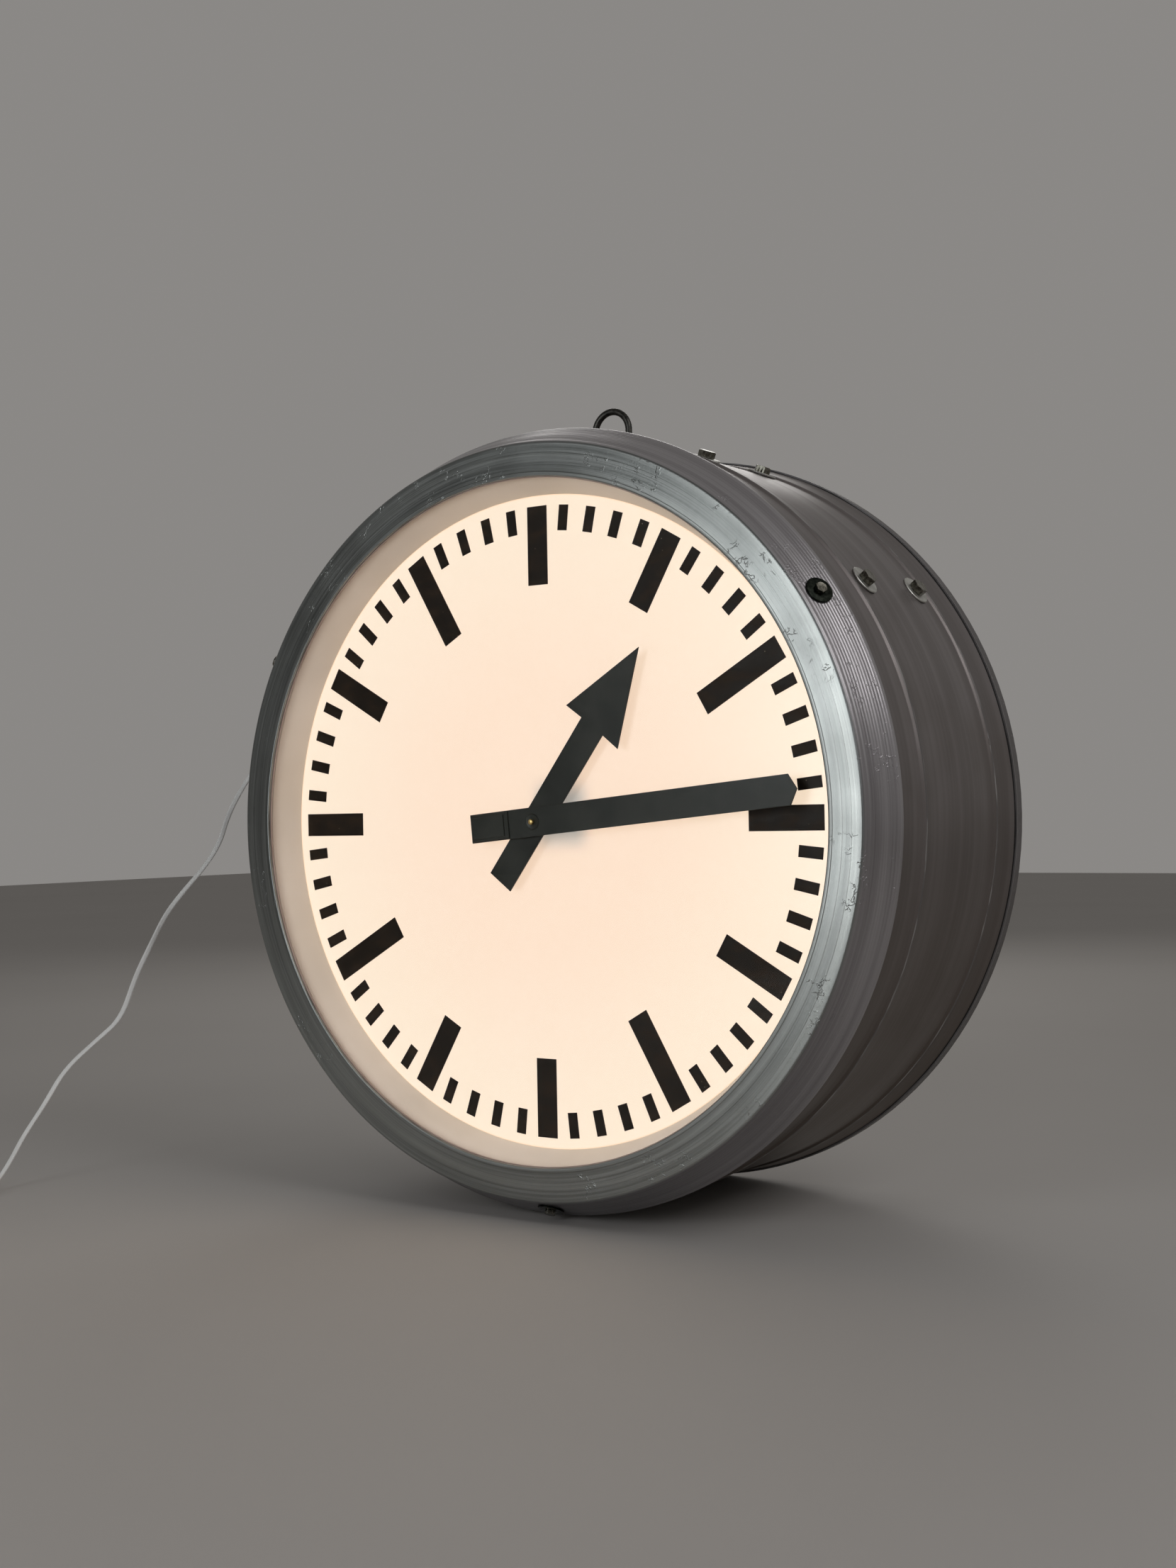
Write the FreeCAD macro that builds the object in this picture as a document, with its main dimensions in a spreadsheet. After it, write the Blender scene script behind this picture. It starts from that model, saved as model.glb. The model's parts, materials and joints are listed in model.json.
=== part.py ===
import FreeCAD, Part
import math
import os
import Sketcher

# Large backlit drum wall clock.
# Frame: millimetres, +Z up, the dial faces -Y, and the origin is the centre of the
# back face, which lies against the wall. Clock angles are degrees clockwise from 12.

Vector = FreeCAD.Vector
Rotation = FreeCAD.Rotation
Placement = FreeCAD.Placement
ACROSS = Vector(1, 0, 0)
AXIS = Vector(0, 1, 0)
UP = Vector(0, 0, 1)

DIMENSIONS = {
    # Dial and the marks on it
    "dial_plane": 244.0,        # wall to the front of the dial
    "dial_sheet": 3.0,
    "dial_radius": 309.0,
    "dial_hole_radius": 5.4,
    "track_radius": 280.0,      # outer ends of the marks
    "minute_mark_length": 22.6,
    "minute_mark_width": 9.9,
    "hour_mark_width": 21.2,
    "hour_mark_length": 70.0,
    "long_mark_length": 86.6,
    "mark_sheet": 0.4,
    # Drum
    "drum_radius": 342.0,
    "drum_sheet": 1.5,
    "front_flange_radius": 296.0,
    "rear_flange_radius": 320.0,
    "rear_flange_plane": 13.5,
    "front_bead_plane": 189.5,
    "rear_bead_plane": 44.5,
    "bead_height": 2.4,
    "bead_half_width": 5.0,
    # Bezel: flat front ring, then a cone that flares back over the drum
    "bezel_front": 278.9,
    "bezel_inner_radius": 300.6,
    "bezel_corner_radius": 326.7,
    "bezel_corner_plane": 277.5,
    "bezel_back_plane": 276.0,
    "bezel_outer_radius": 347.3,
    "bezel_bend_plane": 243.1,
    "bezel_sheet": 1.6,
    # Glass and what holds it
    "glass_radius": 309.0,
    "glass_sheet": 3.0,
    "glass_front": 274.5,
    "reflector_dial_radius": 291.0,
    "reflector_glass_radius": 301.5,
    "reflector_sheet": 1.2,
    # Back cover
    "rim_radius": 349.4,
    "rim_depth": 12.0,
    "cover_sheet": 2.0,
    "cover_screw_circle": 331.0,
    "cover_screw_count": 8.0,
    "wall_hole_spacing": 300.0,
    "wall_hole_radius": 4.25,
    "rail_length": 400.0,
    "rail_width": 40.0,
    "rail_sheet": 4.0,
    # Hanging eye and the saddle under it
    "eye_rod": 6.4,
    "eye_half_width": 18.8,
    "eye_plane": 122.0,
    "eye_bend_height": 365.0,
    "saddle_sheet": 3.0,
    "saddle_half_angle": 62.0,
    "saddle_front": 182.0,
    "saddle_back": 48.0,
    # Bolts
    "drum_bolt_front": 164.0,
    "drum_bolt_back": 64.0,
    "drum_bolt_inner_angle": 21.7,
    "drum_bolt_outer_angle": 54.7,
    "band_bolt_first": 57.8,
    "band_tilt": 31.0,          # lean of the cone's normal out of the radial plane
    # Hands
    "minute_angle": 84.9,
    "minute_tip": 264.6,
    "minute_tail": 68.3,
    "minute_width": 25.7,
    "minute_plane": 259.5,
    "hour_tip": 184.6,
    "hour_tail": 67.0,
    "hour_width": 27.2,
    "hour_head_width": 66.2,
    "hour_head_start": 102.5,
    "hour_plane": 254.5,
    "hand_sheet": 1.5,
    # Movement
    "gear_module": 0.5,
    "wheel_centres": 15.0,
    "rotor_centres": 14.0,
    "arbor_radius": 1.8,
    "running_gap": 0.05,
    "case_half_width": 28.0,
    "case_top": 28.0,
    "case_bottom": 44.0,
    "case_front": 241.0,
    "case_joint": 226.0,
    "case_back": 212.0,
    "case_wall": 1.5,
    # Lighting
    "tape_width": 10.0,
    "tape_front_plane": 222.0,
    "tape_back_plane": 203.0,
    "chip_count": 54.0,
    "chip_size": 5.0,
    "chip_height": 1.6,
    # Supply lead
    "lead_width": 5.2,
    "lead_angle": -76.0,
    "lead_plane": 120.0,
    "coil_turn_radius": 28.6,
    "coil_height": 15.6,
}

doc = FreeCAD.newDocument("wall_clock")
sheet = doc.addObject("Spreadsheet::Sheet", "sizes")


class Size:
    """A number together with the sheet expression that gives it."""

    def __init__(self, number, text):
        self.number = float(number)
        self.text = text

    def join(self, other, sign, number):
        text = other.text if isinstance(other, Size) else repr(float(other))
        return Size(number, "(%s %s %s)" % (self.text, sign, text))

    def __add__(self, other):
        return self.join(other, "+", self.number + number_of(other))

    def __sub__(self, other):
        return self.join(other, "-", self.number - number_of(other))

    def __mul__(self, other):
        return self.join(other, "*", self.number * number_of(other))

    def __truediv__(self, other):
        return self.join(other, "/", self.number / number_of(other))

    def __neg__(self):
        return Size(-self.number, "(0 - %s)" % self.text)


def number_of(value):
    return value.number if isinstance(value, Size) else float(value)


class Sizes:
    """The sheet's cells, each an attribute."""


size = Sizes()
for row, (alias, number) in enumerate(DIMENSIONS.items(), 1):
    sheet.set("A%d" % row, alias)
    sheet.set("B%d" % row, str(number))
    sheet.setAlias("B%d" % row, alias)
    setattr(size, alias, Size(number, "sizes." + alias))
doc.recompute()

NODES = []


def bind(item, name, value):
    """Give a property its number, and tie it to the sheet where it has an expression."""
    setattr(item, name, number_of(value))
    if isinstance(value, Size):
        item.setExpression(name, value.text)


def node(item, label, placement=None):
    """Name a finished sub-part, which is written as parts/LABEL.step."""
    item.Label = label
    if placement is not None:
        item.Placement = placement
    NODES.append(item)
    return item


def clock_point(radius, angle, plane):
    """The point at a radius and clock angle, a distance in front of the wall."""
    turn = math.radians(angle)
    return Vector(radius * math.sin(turn), -plane, radius * math.cos(turn))


def radial_place(radius, angle, plane):
    """Local +Z points outwards from the clock's axis at a clock angle."""
    return Placement(clock_point(radius, angle, plane), Rotation(AXIS, angle))


# ---- sketches and bodies ----

def plane_of(body, role):
    return [item for item in body.Origin.OriginFeatures if item.Role == role][0]


def sketch_on(body, role, name, outlines):
    """Closed straight-sided outlines on an origin plane, each corner tied to the sheet."""
    sketch = body.newObject("Sketcher::SketchObject", name)
    sketch.AttachmentSupport = (plane_of(body, role), [""])
    sketch.MapMode = "FlatFace"
    for outline in outlines:
        first = sketch.GeometryCount
        count = len(outline)
        corners = [Vector(number_of(x), number_of(y), 0) for x, y in outline]
        for index in range(count):
            sketch.addGeometry(Part.LineSegment(corners[index], corners[(index + 1) % count]), False)
        for index in range(count):
            following = first + (index + 1) % count
            sketch.addConstraint(Sketcher.Constraint("Coincident", first + index, 2, following, 1))
        for index, (x, y) in enumerate(outline):
            tie_corner(sketch, first + index, "DistanceX", x)
            tie_corner(sketch, first + index, "DistanceY", y)
    return sketch


def tie_corner(sketch, line, direction, value):
    if abs(number_of(value)) < 1e-9:
        sketch_axis = -2 if direction == "DistanceX" else -1
        sketch.addConstraint(Sketcher.Constraint("PointOnObject", line, 1, sketch_axis))
        return
    constraint = Sketcher.Constraint(direction, -1, 1, line, 1, number_of(value))
    index = sketch.addConstraint(constraint)
    if isinstance(value, Size):
        name = "%s%d" % (direction, line)
        sketch.renameConstraint(index, name)
        sketch.setExpression("Constraints." + name, value.text)


def turned(name, outline, sweep=360.0):
    """A body of revolution about the clock's axis: corners are (radius, Y)."""
    body = doc.addObject("PartDesign::Body", name + "_body")
    sketch = sketch_on(body, "XY_Plane", name + "_section", [outline])
    feature = body.newObject("PartDesign::Revolution", name + "_turned")
    feature.Profile = sketch
    feature.ReferenceAxis = (sketch, ["V_Axis"])
    bind(feature, "Angle", sweep)
    doc.recompute()
    return body


def arc_place(centre, sweep):
    """Centres a part-turned body on a clock angle: it is made from 3 o'clock onwards."""
    return Placement(Vector(0, 0, 0), Rotation(AXIS, centre - 90.0 - sweep / 2))


def ring(name, inner, outer, front, back):
    """A plain ring: radii, and distances of its faces in front of the wall."""
    return turned(name, [(inner, -front), (outer, -front), (outer, -back), (inner, -back)])


def round_edges(body, name, radius, wanted):
    """Fillet each edge of the body's last feature that the test picks."""
    base = body.Tip
    picked = ["Edge%d" % (index + 1) for index, edge in enumerate(base.Shape.Edges) if wanted(edge)]
    feature = body.newObject("PartDesign::Fillet", name)
    feature.Base = (base, picked)
    feature.Radius = radius
    doc.recompute()
    return feature


def circle_at(radius, height):
    """Tests for a circular edge about the clock's axis."""
    def wanted(edge):
        box = edge.BoundBox
        return abs(box.XMax - radius) < 0.2 and abs(box.YMin - height) < 0.2 and box.YLength < 0.1
    return wanted


def plate(name, outline, thickness, holes=()):
    """A flat plate parallel to the dial, its back at Y = 0 and its front towards -Y."""
    body = doc.addObject("PartDesign::Body", name + "_body")
    sketch = sketch_on(body, "XZ_Plane", name + "_outline", [outline])
    feature = body.newObject("PartDesign::Pad", name + "_pad")
    feature.Profile = sketch
    bind(feature, "Length", thickness)
    doc.recompute()
    for index, (x, z, radius) in enumerate(holes):
        drill(body, "%s_hole_%d" % (name, index), x, z, radius)
    return body


def drill(body, name, x, z, radius):
    """A round hole right through a body, along the clock's axis."""
    before = body.Shape.Volume
    sketch = body.newObject("Sketcher::SketchObject", name + "_sketch")
    sketch.AttachmentSupport = (plane_of(body, "XZ_Plane"), [""])
    sketch.MapMode = "FlatFace"
    centre = Vector(number_of(x), number_of(z), 0)
    sketch.addGeometry(Part.Circle(centre, UP, number_of(radius)), False)
    index = sketch.addConstraint(Sketcher.Constraint("Radius", 0, number_of(radius)))
    if isinstance(radius, Size):
        sketch.renameConstraint(index, "HoleRadius")
        sketch.setExpression("Constraints.HoleRadius", radius.text)
    for direction, value in (("DistanceX", x), ("DistanceY", z)):
        if abs(number_of(value)) < 1e-9:
            line = -2 if direction == "DistanceX" else -1
            sketch.addConstraint(Sketcher.Constraint("PointOnObject", 0, 3, line))
        else:
            sketch.addConstraint(Sketcher.Constraint(direction, -1, 1, 0, 3, number_of(value)))
    pocket = body.newObject("PartDesign::Pocket", name)
    pocket.Profile = sketch
    pocket.Type = "ThroughAll"
    pocket.SideType = "Symmetric"
    doc.recompute()
    if not body.Shape.Volume < before:
        raise RuntimeError(name + " cuts nothing")


# ---- primitives ----

def block(width, depth, height, placement):
    """A box centred on its placement across and in depth, rising along local +Z."""
    item = doc.addObject("Part::Box", "block")
    bind(item, "Length", width)
    bind(item, "Width", depth)
    bind(item, "Height", height)
    shift = Placement(Vector(-number_of(width) / 2, -number_of(depth) / 2, 0), Rotation())
    item.Placement = placement.multiply(shift)
    return item


def rod(radius, length, placement):
    """A round rod along local +Z."""
    item = doc.addObject("Part::Cylinder", "rod")
    bind(item, "Radius", radius)
    bind(item, "Height", length)
    item.Placement = placement
    return item


def cone(low_radius, high_radius, length, placement):
    item = doc.addObject("Part::Cone", "cone")
    bind(item, "Radius1", low_radius)
    bind(item, "Radius2", high_radius)
    bind(item, "Height", length)
    item.Placement = placement
    return item


def hexagon(across_flats, height, placement):
    item = doc.addObject("Part::Prism", "hexagon")
    item.Polygon = 6
    item.Circumradius = across_flats / math.sqrt(3.0)
    item.Height = height
    item.Placement = placement
    return item


def lifted(placement, height):
    """The placement moved along its own +Z."""
    return placement.multiply(Placement(Vector(0, 0, height), Rotation()))


def fused(items):
    item = doc.addObject("Part::MultiFuse", "joined")
    item.Shapes = items
    return item


def group(items):
    item = doc.addObject("Part::Compound", "group")
    item.Links = items
    return item


def cut(base, tools):
    item = doc.addObject("Part::Cut", "cut")
    item.Base = base
    item.Tool = tools[0] if len(tools) == 1 else fused(tools)
    return item


def axial(x, plane, z, forwards=True):
    """A placement whose local +Z runs along the clock's axis, towards the front or the wall."""
    return Placement(Vector(x, -plane, z), Rotation(ACROSS, 90 if forwards else -90))


# ---- fasteners ----

def hex_bolt(across_flats, head, radius, length, placement):
    """A bolt whose head sits on the placement and whose shank runs along local -Z."""
    top = hexagon(across_flats, head, placement)
    crown = cone(across_flats * 0.47, across_flats * 0.36, 0.7, lifted(placement, head))
    return fused([top, crown, rod(radius, length + 1.0, lifted(placement, -length))])


def hex_nut(across_flats, height, radius, placement):
    return cut(hexagon(across_flats, height, placement), [rod(radius, height, placement)])


def washer(outer, inner, thickness, placement):
    return cut(rod(outer, thickness, placement), [rod(inner, thickness, placement)])


# ---- drum ----

def drum_bolt_places(radius):
    places = []
    for angle in (size.drum_bolt_inner_angle.number, size.drum_bolt_outer_angle.number):
        for side in (1, -1):
            for plane in (size.drum_bolt_front.number, size.drum_bolt_back.number):
                places.append(radial_place(radius, side * angle, plane))
    return places


def bead_side(radius, plane, height):
    """Corners of one rolled bead along the drum's wall, from front to back."""
    half = size.bead_half_width
    crest = half * 0.35
    return [(radius, -plane - half), (radius + height, -plane - crest),
            (radius + height, -plane + crest), (radius, -plane + half)]


def make_drum():
    outer = size.drum_radius
    inner = outer - size.drum_sheet
    front = size.dial_plane - size.dial_sheet
    back = size.rear_flange_plane
    outline = [(size.front_flange_radius, -front), (outer, -front)]
    outline += bead_side(outer, size.front_bead_plane, size.bead_height)
    outline += bead_side(outer, size.rear_bead_plane, size.bead_height)
    outline += [(outer, -back), (size.rear_flange_radius, -back)]
    outline += [(size.rear_flange_radius, -back - size.drum_sheet), (inner, -back - size.drum_sheet)]
    outline += bead_side(inner, size.rear_bead_plane, size.bead_height)[::-1]
    outline += bead_side(inner, size.front_bead_plane, size.bead_height)[::-1]
    outline += [(inner, -front + size.drum_sheet), (size.front_flange_radius, -front + size.drum_sheet)]
    shell = turned("drum", outline)
    holes = [rod(4.4, 30, lifted(place, -15)) for place in drum_bolt_places(outer.number)]
    holes += [rod(3.5, 60, Placement(Vector(side * size.eye_half_width.number, -size.eye_plane.number, 310),
                                     Rotation())) for side in (1, -1)]
    lead = radial_place(outer.number, size.lead_angle.number, size.lead_plane.number)
    holes.append(rod(5.0, 30, lifted(lead, -15)))
    for index in range(int(size.cover_screw_count.number)):
        point = cover_screw_point(index, size.rear_flange_plane.number + 10)
        holes.append(rod(2.7, 20, Placement(point, Rotation(ACROSS, -90))))
    node(cut(shell, holes), "drum_shell")


def cover_screw_point(index, plane):
    """The cover's screws, spread evenly and clear of the clock's vertical and level lines."""
    step = 360.0 / size.cover_screw_count.number
    return clock_point(size.cover_screw_circle.number, (index + 0.5) * step, plane)


# ---- bezel and glass ----

def cone_radius(plane):
    """Outer radius of the bezel's cone at a distance in front of the wall."""
    rise = size.bezel_outer_radius - size.bezel_corner_radius
    run = size.bezel_corner_plane - size.bezel_bend_plane
    share = (size.bezel_corner_plane - plane) / run
    return size.bezel_corner_radius + rise * share


def make_bezel():
    inner = size.bezel_inner_radius
    front = size.bezel_front
    sheet_gap = size.bezel_sheet
    outer = size.bezel_outer_radius
    bend = size.bezel_bend_plane
    corner = size.bezel_corner_radius
    back = size.bezel_back_plane
    outline = [(inner, -back), (inner, -front), (inner + 2.6, -front), (inner + 3.6, -front + 1.1)]
    outline += [(inner + 8.8, -front + 1.1), (inner + 9.4, -front + 1.9), (inner + 10.8, -front + 1.9)]
    outline += [(inner + 11.4, -front + 0.7), (corner, -size.bezel_corner_plane)]
    outline += [(outer, -bend), (outer, -bend + 3.6), (outer - 3.9, -bend + 5.6)]
    outline += [(outer - 3.9, -bend + 3.8), (outer - sheet_gap, -bend + 2.7)]
    outline += [(outer - sheet_gap, -bend + 0.4), (corner - 1.0, -back)]
    body = turned("bezel", outline)
    round_edges(body, "corner_round", 5.0, circle_at(corner.number, -size.bezel_corner_plane.number))
    round_edges(body, "bend_round", 2.5, circle_at(outer.number, -bend.number))
    round_edges(body, "hem_round", 2.0, circle_at(outer.number, -bend.number + 3.6))
    holes = [rod(3.4, 12, lifted(place, -6)) for place in band_bolt_places(0.0)]
    node(cut(body, holes), "bezel_ring")


def band_bolt_places(height):
    """On the middle of the cone, square to its face, with local +Z outwards."""
    plane = (size.bezel_corner_plane.number + size.bezel_bend_plane.number) / 2
    tilt = Rotation(ACROSS, size.band_tilt.number)
    places = []
    for index in range(3):
        angle = size.band_bolt_first.number + 120.0 * index
        point = clock_point(cone_radius(plane).number, angle, plane)
        place = Placement(point, Rotation(AXIS, angle).multiply(tilt))
        places.append(lifted(place, height))
    return places


def make_band_strap():
    """A thin strap riveted over the lap where the cone's strip ends meet."""
    front = 268.0
    back = 252.0
    lift = 1.6
    outline = [(cone_radius(front) + 0.05, -front), (cone_radius(front) + lift, -front - 0.6),
               (cone_radius(back) + lift, -back - 0.6), (cone_radius(back) + 0.05, -back)]
    sweep = 17.9
    node(turned("strap", outline, sweep), "band_strap", arc_place(-50.95, sweep))


def make_bezel_lugs():
    """Bent tabs on the drum's front flange that the cone's bolts screw into."""
    flange = size.dial_plane - size.dial_sheet
    body = doc.addObject("PartDesign::Body", "lug_body")
    outline = [(329.0, -269.6), (340.5, -250.4), (340.5, -flange), (322.0, -flange)]
    outline += [(322.0, -flange - 3.0), (337.5, -flange - 3.0), (337.5, -249.6), (326.4, -268.0)]
    sketch = sketch_on(body, "XY_Plane", "lug_section", [outline])
    pad = body.newObject("PartDesign::Pad", "lug_pad")
    pad.Profile = sketch
    pad.Length = 24.0
    pad.SideType = "Symmetric"
    doc.recompute()
    lugs = []
    for place in band_bolt_places(0.0):
        angle = math.degrees(math.atan2(place.Base.x, place.Base.z))
        lug = doc.addObject("Part::Compound", "lug")
        lug.Links = [body]
        lug.Placement = Placement(Vector(0, 0, 0), Rotation(AXIS, angle - 90))
        lugs.append(cut(lug, [rod(3.3, 20, lifted(place, -15))]))
    node(group(lugs), "bezel_lugs")


def make_glass_stack():
    front = size.glass_front
    back = front - size.glass_sheet
    node(ring_disc("glass", size.glass_radius, front, back), "front_glass")
    lip = size.bezel_back_plane
    seal = [(size.bezel_inner_radius - 0.8, -front), (size.bezel_inner_radius - 0.8, -lip), (311.6, -lip)]
    edge = size.glass_radius + 0.1
    seal += [(311.6, -front + 4.5), (edge, -front + 4.5), (edge, -front)]
    node(turned("seal", seal), "glass_seal")
    low = size.reflector_dial_radius
    high = size.reflector_glass_radius
    gap = size.reflector_sheet
    dial = size.dial_plane
    outline = [(low, -dial), (high, -back), (308.0, -back), (308.0, -back + gap)]
    outline += [(high + gap, -back + gap), (low + gap, -dial - gap), (306.0, -dial - gap), (306.0, -dial)]
    node(turned("reflector", outline), "reflector_ring")


def ring_disc(name, radius, front, back):
    """A plain disc about the clock's axis."""
    return turned(name, [(0.0, -front), (radius, -front), (radius, -back), (0.0, -back)])


# ---- dial ----

def make_dial():
    front = size.dial_plane
    back = front - size.dial_sheet
    node(ring("dial", size.dial_hole_radius, size.dial_radius, front, back), "dial_plate")


def dial_mark(width, length, angle):
    """A flat mark whose outer end lies on the minute track."""
    item = doc.addObject("Part::Box", "mark")
    bind(item, "Length", width)
    bind(item, "Width", size.mark_sheet)
    bind(item, "Height", length)
    inset = Vector(-width.number / 2, -size.mark_sheet.number, size.track_radius.number - length.number)
    turn = Placement(Vector(0, -size.dial_plane.number, 0), Rotation(AXIS, angle))
    item.Placement = turn.multiply(Placement(inset, Rotation()))
    return item


def make_marks():
    hours = []
    minutes = []
    for minute in range(60):
        angle = 6.0 * minute
        if minute % 5:
            minutes.append(dial_mark(size.minute_mark_width, size.minute_mark_length, angle))
        elif minute % 15 == 10:
            hours.append(dial_mark(size.hour_mark_width, size.long_mark_length, angle))
        else:
            hours.append(dial_mark(size.hour_mark_width, size.hour_mark_length, angle))
    node(group(hours), "hour_marks")
    node(group(minutes), "minute_marks")


# ---- hands ----

def hand_place(plane, angle):
    return Placement(Vector(0, -plane, 0), Rotation(AXIS, angle))


def along_hand(plane, angle, height):
    """A place on a hand, a distance out from the clock's axis towards its tip."""
    return lifted(hand_place(plane, angle), height)


def make_minute_hand(angle):
    half = size.minute_width / 2
    tip = size.minute_tip
    tail = -size.minute_tail
    outline = [(-half, tail), (half, tail), (half, tip - 7.2), (0.0, tip), (-half, tip - 7.2)]
    back = size.minute_plane.number - size.hand_sheet.number
    hand = plate("minute_hand", outline, size.hand_sheet, [(0.0, 0.0, size.arbor_radius)])
    node(hand, "minute_hand", hand_place(back, angle))
    front = size.minute_plane.number
    base = block(23.6, 1.4, 42.0, along_hand(front + 0.7, angle, -67.5))
    slab = block(19.0, 1.2, 36.0, along_hand(front + 2.0, angle, -66.0))
    forwards = Placement(Vector(0, 0, 0), Rotation(ACROSS, 90))
    dimples = [rod(1.6, 1.0, along_hand(front + 1.8, angle, height).multiply(forwards))
               for height in (-61.0, -37.0)]
    node(cut(fused([base, slab]), dimples), "minute_counterweight")
    hub = [(size.arbor_radius, -front), (size.arbor_radius, -front - 1.0), (6.4, -front - 1.0), (7.4, -front)]
    node(turned("minute_hub", hub), "minute_hub")


def make_hour_hand(angle):
    half = size.hour_width / 2
    head = size.hour_head_width / 2
    start = size.hour_head_start
    outline = [(-half, -size.hour_tail), (half, -size.hour_tail), (half, start), (head, start)]
    outline += [(0.0, size.hour_tip), (-head, start), (-half, start)]
    back = size.hour_plane.number - size.hand_sheet.number
    hand = plate("hour_hand", outline, size.hand_sheet, [(0.0, 0.0, 3.3)])
    node(hand, "hour_hand", hand_place(back, angle))
    collet = [(3.3, -back), (8.0, -back), (8.0, -back + 1.2), (5.0, -back + 1.2), (5.0, -back + 3.2),
              (3.3, -back + 3.2)]
    node(turned("hour_collet", collet), "hour_collet")


# ---- gears ----

ADDENDUM = 0.7
DEDENDUM = 1.25
TOOTH_SHARE = 0.34
FLANK_SLOPE = 0.42


def gear_radii(teeth):
    module = size.gear_module
    pitch = module * (teeth / 2.0)
    return pitch - module * DEDENDUM, pitch, pitch + module * ADDENDUM


def gear_body(name, teeth, bore, front, back, turn):
    """A spur gear about the clock's axis, one gap at the given clock angle."""
    root, pitch, tip = gear_radii(teeth)
    body = turned(name, [(bore, -front), (tip, -front), (tip, -back), (bore, -back)])
    cut_teeth(body, name, teeth, turn)
    return body


def cut_teeth(body, name, teeth, turn):
    """Pocket one gap through the rim and repeat it round the axis."""
    root, pitch, tip = gear_radii(teeth)
    module = size.gear_module
    over = tip + 0.3
    gap_half = module * (math.pi * (1.0 - TOOTH_SHARE) / 2.0)
    low_half = gap_half - (pitch - root) * FLANK_SLOPE
    high_half = gap_half + (over - pitch) * FLANK_SLOPE
    outline = [(-low_half, root), (low_half, root), (high_half, over), (-high_half, over)]
    before = body.Shape.Volume
    sketch = sketch_on(body, "XZ_Plane", name + "_gap", [outline])
    gap = body.newObject("PartDesign::Pocket", name + "_gap_cut")
    gap.Profile = sketch
    gap.Type = "ThroughAll"
    gap.SideType = "Symmetric"
    pattern = body.newObject("PartDesign::PolarPattern", name + "_teeth")
    pattern.Originals = [gap]
    pattern.Axis = ([item for item in body.Origin.OriginFeatures if item.Role == "Y_Axis"][0], [""])
    pattern.Angle = 360.0
    pattern.Occurrences = teeth
    body.Tip = pattern
    doc.recompute()
    if not body.Shape.Volume < before:
        raise RuntimeError(name + " has no teeth")
    body.Placement = Placement(Vector(0, 0, 0), Rotation(AXIS, turn))


def mesh_turn(direction, teeth, turn, other_teeth):
    """Turn of a gear that meshes with another, seen from it at a clock angle.

    Both gears have a gap at their own turn, so a tooth of the first meets a gap of the second.
    """
    pitch = 360.0 / teeth
    nearest_tooth = turn + pitch * (math.floor((direction - turn) / pitch) + 0.5)
    lead = (nearest_tooth - direction) * teeth / other_teeth
    return direction + 180.0 - lead


CANNON_TEETH = 15
MINUTE_WHEEL_TEETH = 45
MINUTE_PINION_TEETH = 12
HOUR_WHEEL_TEETH = 48
CENTRE_WHEEL_TEETH = 48
ROTOR_TEETH = 8
MINUTE_WHEEL_ANGLE = -45.0
ROTOR_ANGLE = 45.0


def shifted(item, radius, angle):
    """Carries an item sideways from the clock's axis without turning it."""
    point = clock_point(radius, angle, 0.0)
    item.Placement = Placement(point, Rotation()).multiply(item.Placement)
    return item


def make_train():
    minute_turn = 0.0
    cannon = gear_body("cannon", CANNON_TEETH, size.arbor_radius, 235.4, 232.8, minute_turn)
    node(cannon, "cannon_pinion")
    wheel = gear_body("centre_wheel", CENTRE_WHEEL_TEETH, size.arbor_radius, 231.0, 229.5, minute_turn)
    node(wheel, "centre_wheel")
    first = mesh_turn(MINUTE_WHEEL_ANGLE, CANNON_TEETH, minute_turn, MINUTE_WHEEL_TEETH)
    bore = 1.05
    large = gear_body("minute_wheel", MINUTE_WHEEL_TEETH, bore, 235.0, 233.4, first)
    small = gear_body("minute_pinion", MINUTE_PINION_TEETH, bore, 237.9, 235.0, first)
    pair = fused([large, small])
    node(shifted(pair, size.wheel_centres.number, MINUTE_WHEEL_ANGLE), "minute_wheel")
    second = mesh_turn(MINUTE_WHEEL_ANGLE + 180.0, MINUTE_PINION_TEETH, first, HOUR_WHEEL_TEETH)
    pipe_bore = size.arbor_radius + size.running_gap
    disc = gear_body("hour_wheel", HOUR_WHEEL_TEETH, pipe_bore, 237.7, 236.2, second)
    pipe = ring("hour_pipe", pipe_bore, 3.3, 254.4, 236.9)
    node(fused([disc, pipe]), "hour_wheel")
    third = mesh_turn(ROTOR_ANGLE, CENTRE_WHEEL_TEETH, minute_turn, ROTOR_TEETH)
    leaves = gear_body("rotor_pinion", ROTOR_TEETH, 0.0, 231.6, 229.0, third)
    magnet = ring_disc("rotor_magnet", 4.0, 229.0, 223.0)
    pivots = ring_disc("rotor_pivots", 0.8, 235.5, 215.0)
    rotor = fused([leaves, magnet, pivots])
    node(shifted(rotor, size.rotor_centres.number, ROTOR_ANGLE), "motor_rotor")


def make_arbor():
    radius = size.arbor_radius
    outline = [(0.0, -259.6), (radius, -259.6), (radius, -204.0), (0.0, -204.0)]
    node(turned("arbor", outline), "centre_arbor")
    cap = [(0.0, -263.0), (1.5, -263.0), (2.5, -262.2), (2.5, -260.6), (radius, -260.6), (radius, -259.6),
           (0.0, -259.6)]
    node(turned("cap", cap), "hand_nut")
    knob = [(radius, -209.8), (5.0, -209.8), (5.0, -207.4), (9.0, -207.4), (9.0, -203.4), (8.2, -202.6),
            (0.0, -202.6), (0.0, -204.0), (radius, -204.0)]
    node(turned("knob", knob), "setting_knob")


# ---- movement case ----

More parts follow.
